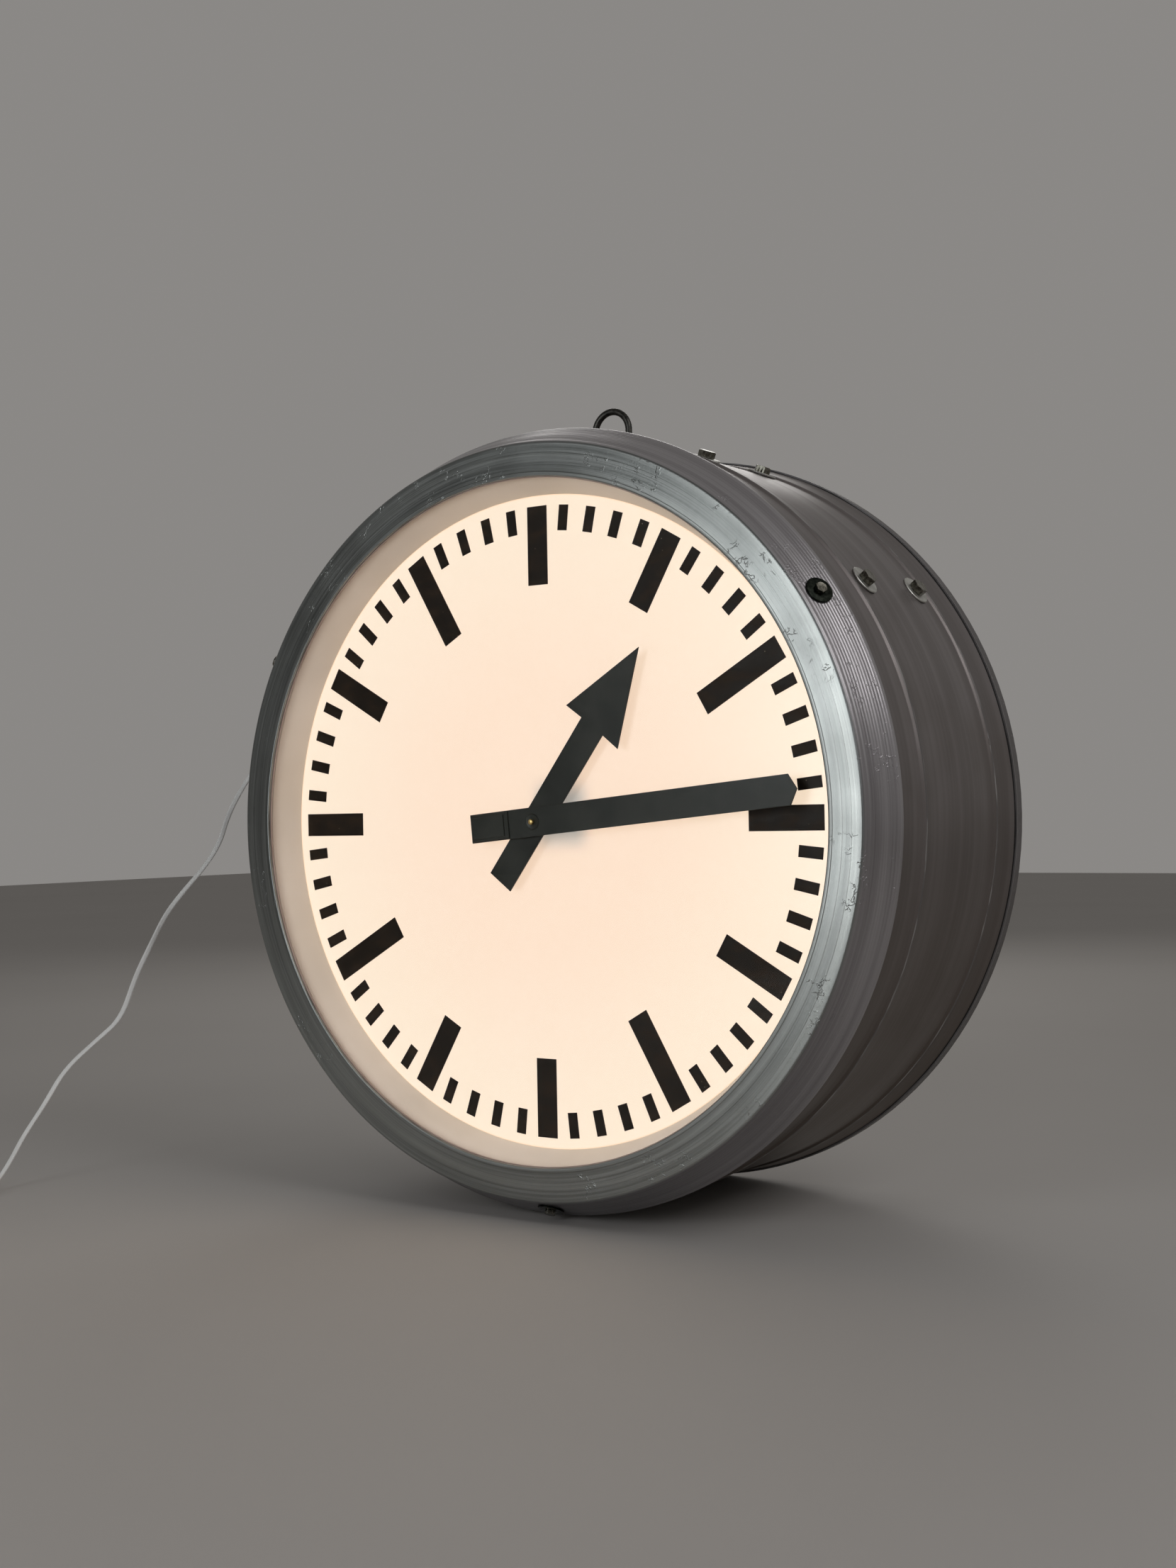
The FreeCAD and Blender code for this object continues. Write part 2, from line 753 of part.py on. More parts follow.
def make_case():
    width = size.case_half_width * 2
    height = size.case_top + size.case_bottom
    wall = size.case_wall
    front = size.case_front
    joint = size.case_joint
    back = size.case_back
    floor_z = -size.case_bottom.number

    def shell(outer_front, outer_back, inner_front, inner_back):
        depth = outer_front - outer_back
        middle = (number_of(outer_front) + number_of(outer_back)) / 2
        solid = block(width, depth, height, Placement(Vector(0, -middle, floor_z), Rotation()))
        inside_middle = (number_of(inner_front) + number_of(inner_back)) / 2
        hollow = block(width - wall * 2, inner_front - inner_back, height - wall * 2,
                       Placement(Vector(0, -inside_middle, floor_z + wall.number), Rotation()))
        return cut(solid, [hollow])

    case = shell(front, joint, front - wall, joint)
    bush = rod(5.2, 8.5, axial(0, front.number - 0.5, 0))
    stud = rod(1.0, 7.3, axial(*stud_point(front.number - 1.0), False))
    tube = rod(1.2, 6.8, axial(*rotor_point(front.number - 1.0), False))
    bore = rod(3.35, 14.0, axial(0, front.number - 3.0, 0))
    pivot = rod(0.85, 4.0, axial(*rotor_point(236.2), False))
    node(cut(fused([case, bush, stud, tube]), [bore, pivot]), "movement_case")

    cover = shell(joint, back, joint, back + wall)
    boss = rod(1.6, 5.0, axial(*rotor_point(back.number + 0.5)))
    holes = [rod(size.arbor_radius + size.running_gap, 4.0, axial(0, back.number - 1.0, 0))]
    holes.append(rod(0.85, 6.2, axial(*rotor_point(back.number + 2.0))))
    holes += [rod(1.1, 20.0, axial(x, back.number - 2.0, z)) for x, z in case_screws()]
    node(cut(fused([cover, boss]), holes), "movement_cover")
    screws = []
    for x, z in case_screws():
        place = axial(x, back.number, z, False)
        screws.append(fused([rod(2.0, 1.2, place), rod(1.0, 13.2, lifted(place, -13.0))]))
    node(group(screws), "movement_screws")
    node(group([battery()]), "movement_battery")


def stud_point(plane):
    point = clock_point(size.wheel_centres.number, MINUTE_WHEEL_ANGLE, plane)
    return point.x, plane, point.z


def rotor_point(plane):
    point = clock_point(size.rotor_centres.number, ROTOR_ANGLE, plane)
    return point.x, plane, point.z


def case_screws():
    x = size.case_half_width.number - 0.8
    return [(side * (x - 3.4), z) for side in (1, -1) for z in (24.0, -24.0)]


def battery():
    """A cell lying across the bottom of the case, with its positive cap."""
    place = Placement(Vector(-24.6, -226.0, -34.2), Rotation(AXIS, 90))
    return fused([rod(7.1, 48.4, place), rod(2.7, 49.8, place)])


def make_motor():
    """A plate round the rotor, and two legs down to the core that carries the coil."""
    x, plane, z = rotor_point(size.case_joint.number)
    sheet = 1.8
    left = -8.0
    right = 17.4
    core_height = -17.5
    bar = 3.0
    span = right - left + bar
    middle = (left + right) / 2
    pole = block(span, sheet, 12.0, Placement(Vector(middle, -plane, z - 6.0), Rotation()))
    core = block(span, sheet, bar, Placement(Vector(middle, -plane, core_height - bar / 2), Rotation()))
    legs = [block(bar, sheet, 33.0, Placement(Vector(side, -plane, core_height), Rotation()))
            for side in (left, right)]
    window = rod(4.6, 6.0, axial(x, plane - 3.0, z))
    node(cut(fused([pole, core] + legs), [window]), "motor_stator")
    length = span - 2 * bar - 2.0
    coil_place = Placement(Vector(middle - length / 2, -plane, core_height), Rotation(AXIS, 90))
    node(cut(rod(3.4, length, coil_place), [rod(1.8, length, coil_place)]), "motor_coil")
    board = block(50.0, 1.2, 24.0, Placement(Vector(0, -216.6, -1.0), Rotation()))
    holes = [rod(3.0, 6.0, axial(0, 214.0, 0)), rod(2.4, 6.0, axial(x, 214.0, z))]
    holes += [rod(1.6, 6.0, axial(sx, 214.0, sz)) for sx, sz in case_screws()]
    node(cut(board, holes), "circuit_board")


def make_dial_fixing():
    front = size.dial_plane.number
    node(washer(9.0, 5.3, 1.0, axial(0, front, 0)), "dial_washer")
    node(hex_nut(14.0, 3.0, 5.25, axial(0, front + 1.0, 0)), "dial_nut")


# ---- fasteners of the case ----

def make_fasteners():
    wall = size.drum_radius.number
    bolts = [hex_bolt(13.0, 5.3, 4.0, 18.0, lifted(place, 2.0)) for place in drum_bolt_places(wall)]
    washers = [washer(14.0, 4.2, 2.0, place) for place in drum_bolt_places(wall)]
    inside = wall - size.drum_sheet.number - size.saddle_sheet.number - 0.2
    nuts = [hex_nut(13.0, 6.5, 4.05, lifted(place, -6.6)) for place in drum_bolt_places(inside)]
    node(group(bolts), "drum_bolts")
    node(group(washers), "drum_washers")
    node(group(nuts), "drum_nuts")
    bolts = [hex_bolt(10.0, 4.0, 3.0, 18.0, place) for place in band_bolt_places(1.9)]
    washers = [washer(11.5, 3.2, 1.6, place) for place in band_bolt_places(0.3)]
    nuts = [hex_nut(10.0, 5.0, 3.05, place) for place in band_bolt_places(-10.2)]
    node(group(bolts), "band_bolts")
    node(group(washers), "band_washers")
    node(group(nuts), "band_nuts")


# ---- hanging eye ----

def make_eye():
    rod_radius = size.eye_rod.number / 2
    half = size.eye_half_width.number
    bend = size.eye_bend_height.number
    plane = -size.eye_plane.number
    foot = 322.0
    left = Part.LineSegment(Vector(-half, plane, foot), Vector(-half, plane, bend))
    arch = Part.Arc(Vector(-half, plane, bend), Vector(0, plane, bend + half), Vector(half, plane, bend))
    right = Part.LineSegment(Vector(half, plane, bend), Vector(half, plane, foot))
    path = Part.Wire([left.toShape(), arch.toShape(), right.toShape()])
    eye = doc.addObject("Part::Feature", "eye")
    eye.Shape = swept(path, rod_radius, UP)
    node(eye, "hanging_eye")
    nuts = [hex_nut(10.0, 5.0, rod_radius + 0.02, Placement(Vector(side * half, plane, 328.0), Rotation()))
            for side in (1, -1)]
    node(group(nuts), "eye_nuts")

    outer = size.drum_radius - size.drum_sheet - 0.1
    inner = outer - size.saddle_sheet
    front = size.saddle_front
    back = size.saddle_back
    outline = [(inner, -front), (outer, -front), (outer, -back), (inner, -back)]
    saddle = turned("saddle", outline, size.saddle_half_angle * 2)
    saddle.Placement = arc_place(0.0, size.saddle_half_angle.number * 2)
    holes = [rod(4.4, 30, lifted(place, -15)) for place in drum_bolt_places(size.drum_radius.number)]
    holes += [rod(3.5, 60, Placement(Vector(side * half, plane, 310), Rotation())) for side in (1, -1)]
    node(cut(saddle, holes), "hanger_saddle")


def swept(path, radius, start):
    """A round bar along a path that begins in the direction start."""
    section = Part.Wire([Part.Circle(path.Edges[0].Vertexes[0].Point, start, radius).toShape()])
    return path.makePipeShell([section], True, False)


# ---- back cover ----

def make_cover():
    rim = size.rim_radius
    inner = rim - 1.8
    sheet_back = size.cover_sheet
    outline = [(0.0, -sheet_back), (inner, -sheet_back), (inner, -size.rim_depth), (rim, -size.rim_depth)]
    outline += [(rim, 0.0), (0.0, 0.0)]
    body = turned("cover", outline)
    round_edges(body, "rim_round", 1.2, circle_at(rim.number, 0.0))
    holes = []
    for index in range(int(size.cover_screw_count.number)):
        point = cover_screw_point(index, 0.0)
        holes.append(cone(4.8, 2.7, 2.0, Placement(point, Rotation(ACROSS, 90))))
        holes.append(rod(2.7, 4.0, Placement(point, Rotation(ACROSS, 90))))
    holes += wall_holes(0.0, 3.0)
    node(cut(body, holes), "rear_cover")
    screws = []
    spacers = []
    nuts = []
    for index in range(int(size.cover_screw_count.number)):
        head = Placement(cover_screw_point(index, 0.05), Rotation(ACROSS, 90))
        screws.append(fused([cone(4.6, 2.6, 1.9, head), rod(2.5, 20.0, head)]))
        sleeve = Placement(cover_screw_point(index, 2.0), Rotation(ACROSS, 90))
        spacers.append(cut(rod(5.5, 11.5, sleeve), [rod(2.6, 11.5, sleeve)]))
        behind = Placement(cover_screw_point(index, 15.0), Rotation(ACROSS, 90))
        nuts.append(hex_nut(8.0, 4.0, 2.52, behind))
    node(group(screws), "cover_screws")
    node(group(spacers), "cover_spacers")
    node(group(nuts), "cover_nuts")
    node(ring("rear_seal", size.drum_radius + 0.1, 348.6, 15.0, size.rim_depth), "rear_seal")
    node(ring("bezel_seal", size.drum_radius + 0.1, 345.5, 243.0, 240.6), "bezel_seal")
    rails = []
    for side in (1, -1):
        z = side * size.wall_hole_spacing.number / 2 - size.rail_width.number / 2
        place = Placement(Vector(0, -size.cover_sheet.number - size.rail_sheet.number / 2, z), Rotation())
        rails.append(block(size.rail_length, size.rail_sheet, size.rail_width, place))
    node(cut(group(rails), wall_holes(1.0, 6.0)), "wall_rails")


def wall_holes(plane, length):
    half = size.wall_hole_spacing.number / 2
    radius = size.wall_hole_radius
    return [rod(radius, length, axial(x, plane, z)) for x in (half, -half) for z in (half, -half)]


# ---- lighting ----

def make_lighting():
    outer = size.drum_radius - size.drum_sheet - 0.05
    tapes = []
    chips = []
    for plane in (size.tape_front_plane, size.tape_back_plane):
        front = plane + size.tape_width / 2
        tapes.append(ring("tape", outer - 0.8, outer, front, front - size.tape_width))
        for index in range(int(size.chip_count.number)):
            angle = 360.0 * index / size.chip_count.number
            place = radial_place(outer.number - 0.9 - size.chip_height.number, angle, plane.number)
            chips.append(block(size.chip_size, size.chip_size, size.chip_height, place))
    node(group(tapes), "led_tape")
    node(group(chips), "led_chips")
    place = radial_place(317.8, -98.0, size.lead_plane.number)
    base = block(62.0, 34.0, 20.0, place)
    case = doc.addObject("Part::Fillet", "driver")
    case.Base = base
    doc.recompute()
    case.Edges = [(index + 1, 2.0, 2.0) for index in range(len(base.Shape.Edges))]
    node(case, "led_driver")
    strap = block(16.0, 38.4, 24.6, lifted(place, -2.0))
    room = block(16.4, 34.4, 30.0, place)
    node(cut(strap, [room]), "driver_clip")


# ---- supply lead ----

# From the strain relief's tip to the coil, chosen by hand.
LEAD_ROUTE = [
    (-363.9, -120.0, 90.7), (-381.0, -120.4, 94.4), (-404.0, -121.8, 93.0), (-428.0, -124.6, 84.6),
    (-449.0, -129.0, 71.0), (-464.0, -136.0, 54.0), (-471.0, -147.0, 34.0), (-472.0, -163.0, 10.0),
    (-466.0, -181.0, -18.0), (-473.0, -196.0, -42.0), (-489.0, -214.0, -69.0), (-499.0, -229.0, -92.0),
    (-498.0, -252.0, -124.0), (-500.0, -270.0, -153.0), (-495.0, -293.0, -192.0), (-511.0, -312.0, -213.0),
    (-532.0, -336.0, -241.0), (-537.0, -357.0, -273.0), (-545.0, -377.0, -302.0), (-542.5, -394.0, -322.0),
    (-539.5, -409.0, -335.5), (-536.0, -422.0, -343.5), (-532.0, -434.0, -346.8), (-527.5, -445.0, -346.8),
]
# From the coil to the plug, which lies beside it.
TAIL_ROUTE = [
    (-543.0, -507.8, -346.8), (-552.5, -521.9, -346.8), (-568.0, -528.9, -345.6), (-584.8, -526.9, -343.4),
    (-598.2, -516.3, -342.4),
]
# Inside the drum, from the strain relief to the driver.
INNER_ROUTE = [
    (-316.0, -120.0, 78.8), (-299.0, -120.0, 71.0), (-288.0, -120.0, 54.0), (-287.0, -120.0, 33.0),
    (-299.0, -120.0, 15.0), (-317.0, -120.0, 4.0), (-328.7, -120.0, -16.0),
]
COIL_CENTRE = (-548.0, -473.0)
PLUG_TURN = 141.7               # plan angle of the plug's pins


def rounded_path(points):
    """Straight runs joined by tangent arcs, each as large as its two runs allow."""
    corners = [Vector(*point) for point in points]
    edges = []
    radii = []
    start = corners[0]
    for before, corner, after in zip(corners, corners[1:], corners[2:]):
        arriving = (corner - before).normalize()
        leaving = (after - corner).normalize()
        turn = arriving.getAngle(leaving)
        shorter = min((corner - before).Length, (after - corner).Length)
        reach = 0.45 * shorter
        radius = reach / math.tan(turn / 2)
        entry = corner - arriving * reach
        leave = corner + leaving * reach
        inwards = (leaving - arriving).normalize()
        middle = corner + inwards * (radius / math.cos(turn / 2) - radius)
        edges.append(Part.LineSegment(start, entry).toShape())
        edges.append(Part.Arc(entry, middle, leave).toShape())
        radii.append(radius)
        start = leave
    edges.append(Part.LineSegment(start, corners[-1]).toShape())
    return Part.Wire(edges), radii


def lead(name, points, diameter):
    path, radii = rounded_path(points)
    start = Vector(*points[1]) - Vector(*points[0])
    item = doc.addObject("Part::Feature", name)
    item.Shape = swept(path, diameter / 2, start)
    expected = math.pi * diameter ** 2 / 4 * path.Length
    print(name, "length", round(path.Length, 1), "radii", [round(radius) for radius in radii],
          "volume ratio", round(item.Shape.Volume / expected, 4))
    return node(item, name)


def make_lead():
    width = size.lead_width.number
    place = radial_place(size.drum_radius.number, size.lead_angle.number, size.lead_plane.number)
    parts = [rod(7.5, 2.5, lifted(place, 0.2)), rod(4.9, 4.0, lifted(place, -3.0))]
    parts += [rod(6.5, 2.0, lifted(place, -4.6)), cone(5.2, 3.5, 22.0, lifted(place, 2.7))]
    bore = rod(size.lead_width / 2, 60.0, lifted(place, -20.0))
    node(cut(fused(parts), [bore]), "strain_relief")
    entry = tuple(place.multVec(Vector(0, 0, 4.0)))
    lead("supply_lead", [entry] + LEAD_ROUTE, width)
    lead("inner_lead", [entry] + INNER_ROUTE, width)

    floor = -size.rim_radius.number
    across = width * 2.4
    turn_radius = size.coil_turn_radius
    centre = Placement(Vector(COIL_CENTRE[0], COIL_CENTRE[1], floor), Rotation())
    outside = rod(turn_radius + across / 2, size.coil_height, centre)
    node(cut(outside, [rod(turn_radius - across / 2, size.coil_height, centre)]), "lead_coil")
    tie_place = Placement(Vector(*COIL_CENTRE, floor), Rotation(UP, 20.0))
    tie_place = tie_place.multiply(Placement(Vector(turn_radius.number, 0, 0), Rotation()))
    band = block(across + 2.0, 4.0, size.coil_height + 1.0, tie_place)
    node(cut(band, [block(across, 4.0, size.coil_height, tie_place)]), "coil_tie")
    lead("lead_tail", TAIL_ROUTE, width)
    make_plug(floor)


def make_plug(floor):
    """A flat two-pin plug lying on the floor, local +X towards its pins."""
    place = Placement(Vector(*TAIL_ROUTE[-1]), Rotation(UP, PLUG_TURN))
    body = doc.addObject("PartDesign::Body", "plug_body")
    outline = [(0.0, -3.6), (20.0, -5.6), (26.0, -16.0), (38.0, -17.6), (56.0, -17.6), (58.0, -15.6),
               (58.0, 15.6), (56.0, 17.6), (38.0, 17.6), (26.0, 16.0), (20.0, 5.6), (0.0, 3.6)]
    sketch = sketch_on(body, "XY_Plane", "plug_outline", [outline])
    pad = body.newObject("PartDesign::Pad", "plug_pad")
    pad.Profile = sketch
    pad.Length = 13.8
    pad.SideType = "Symmetric"
    doc.recompute()
    body.Placement = place
    node(body, "mains_plug")
    pins = []
    for side in (1, -1):
        pin = Placement(Vector(58.0, side * 9.3, 0), Rotation(AXIS, 90))
        pins.append(rod(2.0, 18.0, place.multiply(pin)))
        tip = place.multiply(pin).multiply(Placement(Vector(0, 0, 18.0), Rotation()))
        pins.append(cone(2.0, 1.2, 1.0, tip))
    node(group([fused(pins[:2]), fused(pins[2:])]), "plug_pins")


def write_nodes():
    doc.recompute()
    for item in doc.Objects:
        if "Invalid" in item.State or "Error" in item.State:
            raise RuntimeError("%s (%s) failed: %s" % (item.Name, item.Label, item.State))
    for item in NODES:
        if item.Shape.isNull() or not item.Shape.isValid():
            raise RuntimeError(item.Label + " has no valid shape")
    os.makedirs("parts", exist_ok=True)
    for item in NODES:
        item.Shape.exportStep("parts/%s.step" % item.Label)
        print(item.Label, "solids", len(item.Shape.Solids), "volume", round(item.Shape.Volume, 1))


make_drum()
make_bezel()
make_band_strap()
make_bezel_lugs()
make_glass_stack()
make_dial()
make_marks()
make_minute_hand(size.minute_angle.number)
make_hour_hand(30.0 + size.minute_angle.number / 12.0)
make_train()
make_arbor()
make_case()
make_motor()
make_dial_fixing()
make_fasteners()
make_eye()
make_cover()
make_lighting()
make_lead()
write_nodes()
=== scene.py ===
import math

import bmesh
import bpy
from mathutils import Matrix, Vector, noise
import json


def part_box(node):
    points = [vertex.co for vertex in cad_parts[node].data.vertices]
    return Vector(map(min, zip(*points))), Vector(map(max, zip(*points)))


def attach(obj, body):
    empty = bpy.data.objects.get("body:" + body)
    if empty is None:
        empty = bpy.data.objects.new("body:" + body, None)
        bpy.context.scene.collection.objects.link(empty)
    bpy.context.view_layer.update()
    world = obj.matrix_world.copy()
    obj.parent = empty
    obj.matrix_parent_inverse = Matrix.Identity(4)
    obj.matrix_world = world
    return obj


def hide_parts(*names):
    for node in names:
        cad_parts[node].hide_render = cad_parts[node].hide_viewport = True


# Large backlit drum wall clock. Metres, +Z up, the dial faces -Y, the wall is the plane Y = 0.
# Profiles are (radius, y) in millimetres; clock angles are degrees clockwise from 12.

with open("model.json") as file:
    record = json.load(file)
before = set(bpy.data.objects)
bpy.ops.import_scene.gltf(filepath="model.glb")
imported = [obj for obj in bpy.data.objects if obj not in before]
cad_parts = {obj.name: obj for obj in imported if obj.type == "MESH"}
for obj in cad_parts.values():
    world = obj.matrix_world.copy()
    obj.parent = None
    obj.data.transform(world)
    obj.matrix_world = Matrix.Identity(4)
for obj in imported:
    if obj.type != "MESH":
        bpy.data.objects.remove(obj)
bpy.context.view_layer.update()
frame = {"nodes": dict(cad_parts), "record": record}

MM = 0.001
DRUM_RADIUS = 342.0
CASE = "clock_case"
MINUTE = "minute_arbor"
HOUR = "hour_arbor"


def reach(node):
    """How far a node stands out from the clock's axis, and its front plane, in millimetres."""
    low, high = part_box(node)
    return high.z / MM, low.y / MM


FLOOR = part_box("rear_cover")[0].z


# ---- camera ----

def make_camera():
    data = bpy.data.cameras.new("camera")
    data.sensor_width = 36.0
    data.lens = 43.89
    data.shift_y = 0.0108
    camera = bpy.data.objects.new("camera", data)
    bpy.context.scene.collection.objects.link(camera)
    right = Vector((0.82341, 0.56717, -0.01806))
    up = Vector((0.01849, 0.00498, 0.99982))
    back = right.cross(up)
    up = back.cross(right)
    turn = Matrix((right, up, back)).transposed().to_4x4()
    camera.matrix_world = Matrix.Translation((0.9951, -1.6180, 0.0068)) @ turn
    bpy.context.scene.camera = camera


make_camera()


# ---- materials ----

class Finish:
    """A Principled material and the nodes that feed it."""

    def __init__(self, name, **surface):
        self.material = bpy.data.materials.new(name)
        self.material.use_nodes = True
        self.tree = self.material.node_tree
        self.shader = self.tree.nodes["Principled BSDF"]
        self.place = self.tree.nodes.new("ShaderNodeTexCoord").outputs["Object"]
        self.surface(**surface)

    def surface(self, **values):
        """Sets the shader's inputs, named with underscores for spaces."""
        self.feed(self.shader, {key.replace("_", " "): value for key, value in values.items()})

    def feed(self, node, inputs):
        for key, value in inputs.items():
            if isinstance(value, bpy.types.NodeSocket):
                self.tree.links.new(value, node.inputs[key])
            elif isinstance(value, tuple) and len(value) == 3 and node.inputs[key].type == "RGBA":
                node.inputs[key].default_value = (*value, 1.0)
            else:
                node.inputs[key].default_value = value

    def node(self, kind, inputs, **settings):
        item = self.tree.nodes.new("ShaderNode" + kind)
        for key, value in settings.items():
            setattr(item, key, value)
        self.feed(item, inputs)
        return item

    def math(self, operation, first, second=0.0):
        return self.node("Math", {0: first, 1: second}, operation=operation).outputs[0]

    def step(self, value, low, high, start=0.0, end=1.0):
        """Rises smoothly from start to end as value goes from low to high."""
        inputs = {"Value": value, "From Min": low, "From Max": high, "To Min": start, "To Max": end}
        return self.node("MapRange", inputs, interpolation_type="SMOOTHSTEP").outputs[0]

    def mix(self, share, first, second):
        item = self.node("Mix", {0: share}, data_type="RGBA")
        self.feed(item, {6: first, 7: second})
        return item.outputs[2]

    def axes(self):
        """x, y, z and the distance from the clock's axis."""
        parts = self.node("SeparateXYZ", {0: self.place})
        x, y, z = parts.outputs
        square = self.math("ADD", self.math("MULTIPLY", x, x), self.math("MULTIPLY", z, z))
        return x, y, z, self.math("SQRT", square)

    def noise(self, size, detail=2.0, stretch=(1.0, 1.0, 1.0), rough=0.5):
        """Smooth variation with features about size across, longer where stretch is more."""
        scale = tuple(1.0 / (size * share) for share in stretch)
        spread = self.node("VectorMath", {0: self.place, 1: scale}, operation="MULTIPLY")
        inputs = {"Vector": spread.outputs[0], "Scale": 1.0, "Detail": detail, "Roughness": rough}
        return self.node("TexNoise", inputs).outputs[0]

    def streaks(self, width, length, detail=1.0):
        """Lines that run round the clock's axis, as a brush or a spinning lathe leaves them."""
        x, y, z, radius = self.axes()
        place = self.node("CombineXYZ", {
            0: self.math("DIVIDE", x, length), 1: self.math("DIVIDE", z, length),
            2: self.math("DIVIDE", y, width)}).outputs[0]
        across = self.math("DIVIDE", radius, width)
        inputs = {"Vector": place, "W": across, "Scale": 1.0, "Detail": detail}
        return self.node("TexNoise", inputs, noise_dimensions="4D").outputs[0]

    def bump(self, height, distance, strength=1.0, under=None):
        inputs = {"Height": height, "Distance": distance, "Strength": strength}
        if under is not None:
            inputs["Normal"] = under
        return self.node("Bump", inputs).outputs[0]


def worms(finish, patch_low):
    """Fine raised crinkles where paint has lifted, in scattered patches."""
    lines = finish.noise(0.0055, 2.0)
    ridge = finish.step(finish.math("ABSOLUTE", finish.math("SUBTRACT", lines, 0.5)), 0.0, 0.035, 1.0, 0.0)
    dash = finish.step(finish.noise(0.012, 1.0), 0.5, 0.58)
    patch = finish.step(finish.noise(0.045, 1.0), patch_low, patch_low + 0.1)
    return finish.math("MULTIPLY", finish.math("MULTIPLY", ridge, dash), patch)


# How fast the lines that spinning left on the cone repeat along Y, in radians per metre.
TURNED_LINES = 2285.0


def bezel_paint():
    """Satin blue-grey metallic paint on the ring, browner on the cone behind it."""
    finish = Finish("bezel_paint", Metallic=0.92, Specular_IOR_Level=0.5, Coat_Weight=0.12,
                    Coat_Roughness=0.22)
    x, y, z, radius = finish.axes()
    behind = finish.step(y, -0.2774, -0.2755)
    broad = finish.streaks(0.009, 0.5)
    fine = finish.streaks(0.0011, 0.16, 2.0)
    patchy = finish.noise(0.05, 3.0)
    ring = finish.mix(finish.step(broad, 0.3, 0.7), (0.225, 0.238, 0.230), (0.345, 0.360, 0.346))
    cone = finish.mix(finish.step(broad, 0.3, 0.7), (0.30, 0.283, 0.297), (0.42, 0.402, 0.42))
    colour = finish.mix(behind, ring, cone)
    lines = finish.step(fine, 0.35, 0.7, 0.0, 0.22)
    colour = finish.mix(lines, colour, (0.62, 0.63, 0.63))
    rough = finish.math("ADD", finish.step(fine, 0.3, 0.7, 0.27, 0.36),
                        finish.step(patchy, 0.3, 0.7, 0.0, 0.05))
    height = finish.math("ADD", finish.math("MULTIPLY", fine, 0.22), worms(finish, 0.54))
    wave = finish.math("SINE", finish.math("MULTIPLY", y, TURNED_LINES))
    turned = finish.math("MULTIPLY", wave, behind)
    uneven = finish.step(finish.noise(0.09, 1.0), 0.35, 0.6, 0.10, 0.28)
    height = finish.math("ADD", height, finish.math("MULTIPLY", turned, uneven))
    peel = finish.bump(finish.noise(0.004, 2.0), 0.00012, 0.35)
    finish.surface(Base_Color=colour, Roughness=rough, Normal=finish.bump(height, 0.0003, 0.7, peel))
    return finish.material


def drum_paint():
    """Satin dark grey paint, a little brown, with faint marks round the drum, and painted shade darkening it
    to brown towards the bottom.
    """
    finish = Finish("drum_paint", Metallic=0.75, Specular_IOR_Level=0.5, Coat_Weight=0.1,
                    Coat_Roughness=0.3)
    broad = finish.streaks(0.012, 0.6)
    fine = finish.streaks(0.0016, 0.25, 2.0)
    patchy = finish.noise(0.11, 3.0)
    colour = finish.mix(finish.step(broad, 0.3, 0.7), (0.20, 0.18, 0.175), (0.27, 0.247, 0.245))
    colour = finish.mix(finish.step(patchy, 0.45, 0.75, 0.0, 0.4), colour, (0.15, 0.13, 0.115))
    x, y, z, radius = finish.axes()
    # Painted shade: the drum darkens to a deep brown towards the bottom.
    colour = finish.mix(finish.step(z, 0.12, -0.30, 0.0, 0.75), colour, (0.10, 0.074, 0.052))
    colour = finish.mix(finish.step(fine, 0.6, 0.85, 0.0, 0.22), colour, (0.34, 0.33, 0.33))
    rough = finish.math("ADD", finish.step(fine, 0.3, 0.7, 0.36, 0.44),
                        finish.step(patchy, 0.3, 0.7, 0.0, 0.08))
    height = finish.math("ADD", finish.math("MULTIPLY", fine, 0.2), finish.noise(0.05, 1.0))
    peel = finish.bump(finish.noise(0.005, 2.0), 0.0001, 0.3)
    finish.surface(Base_Color=colour, Roughness=rough, Normal=finish.bump(height, 0.0003, 0.3, peel))
    return finish.material


def cover_paint():
    """The drum's paint on the cover, with a painted highlight: paler grey along the front edge of its rolled
    rim.
    """
    finish = Finish("cover_paint", Metallic=0.2, Specular_IOR_Level=0.4)
    x, y, z, radius = finish.axes()
    patchy = finish.noise(0.06, 3.0)
    fine = finish.noise(0.004, 3.0)
    colour = finish.mix(finish.step(patchy, 0.35, 0.7), (0.115, 0.107, 0.105), (0.16, 0.15, 0.15))
    # Painted highlight: the front edge of the rolled rim is painted paler grey, as if lit.
    rim = finish.math("MULTIPLY", finish.step(radius, 0.3470, 0.3480), finish.step(y, -0.0105, -0.0118))
    colour = finish.mix(rim, colour, (0.26, 0.25, 0.25))
    colour = finish.mix(finish.step(fine, 0.6, 0.72, 0.0, 0.4), colour, (0.30, 0.29, 0.28))
    finish.surface(Base_Color=colour, Roughness=finish.step(patchy, 0.3, 0.7, 0.4, 0.5),
                   Normal=finish.bump(fine, 0.0001, 0.3))
    return finish.material


def crest_highlight_paint():
    """The beads' crests, painted paler in broken streaks: a painted highlight."""
    finish = Finish("crest_highlight_paint", Metallic=0.4, Specular_IOR_Level=0.5)
    highlight_breaks = finish.noise(0.03, 3.0, (1.0, 0.1, 1.0))
    # Painted highlight: broken pale streaks along the crests.
    colour = finish.mix(finish.step(highlight_breaks, 0.46, 0.64), (0.16, 0.15, 0.148), (0.36, 0.35, 0.345))
    finish.surface(Base_Color=colour, Roughness=finish.step(highlight_breaks, 0.4, 0.6, 0.42, 0.3),
                   Normal=finish.bump(highlight_breaks, 0.0002, 0.4))
    return finish.material


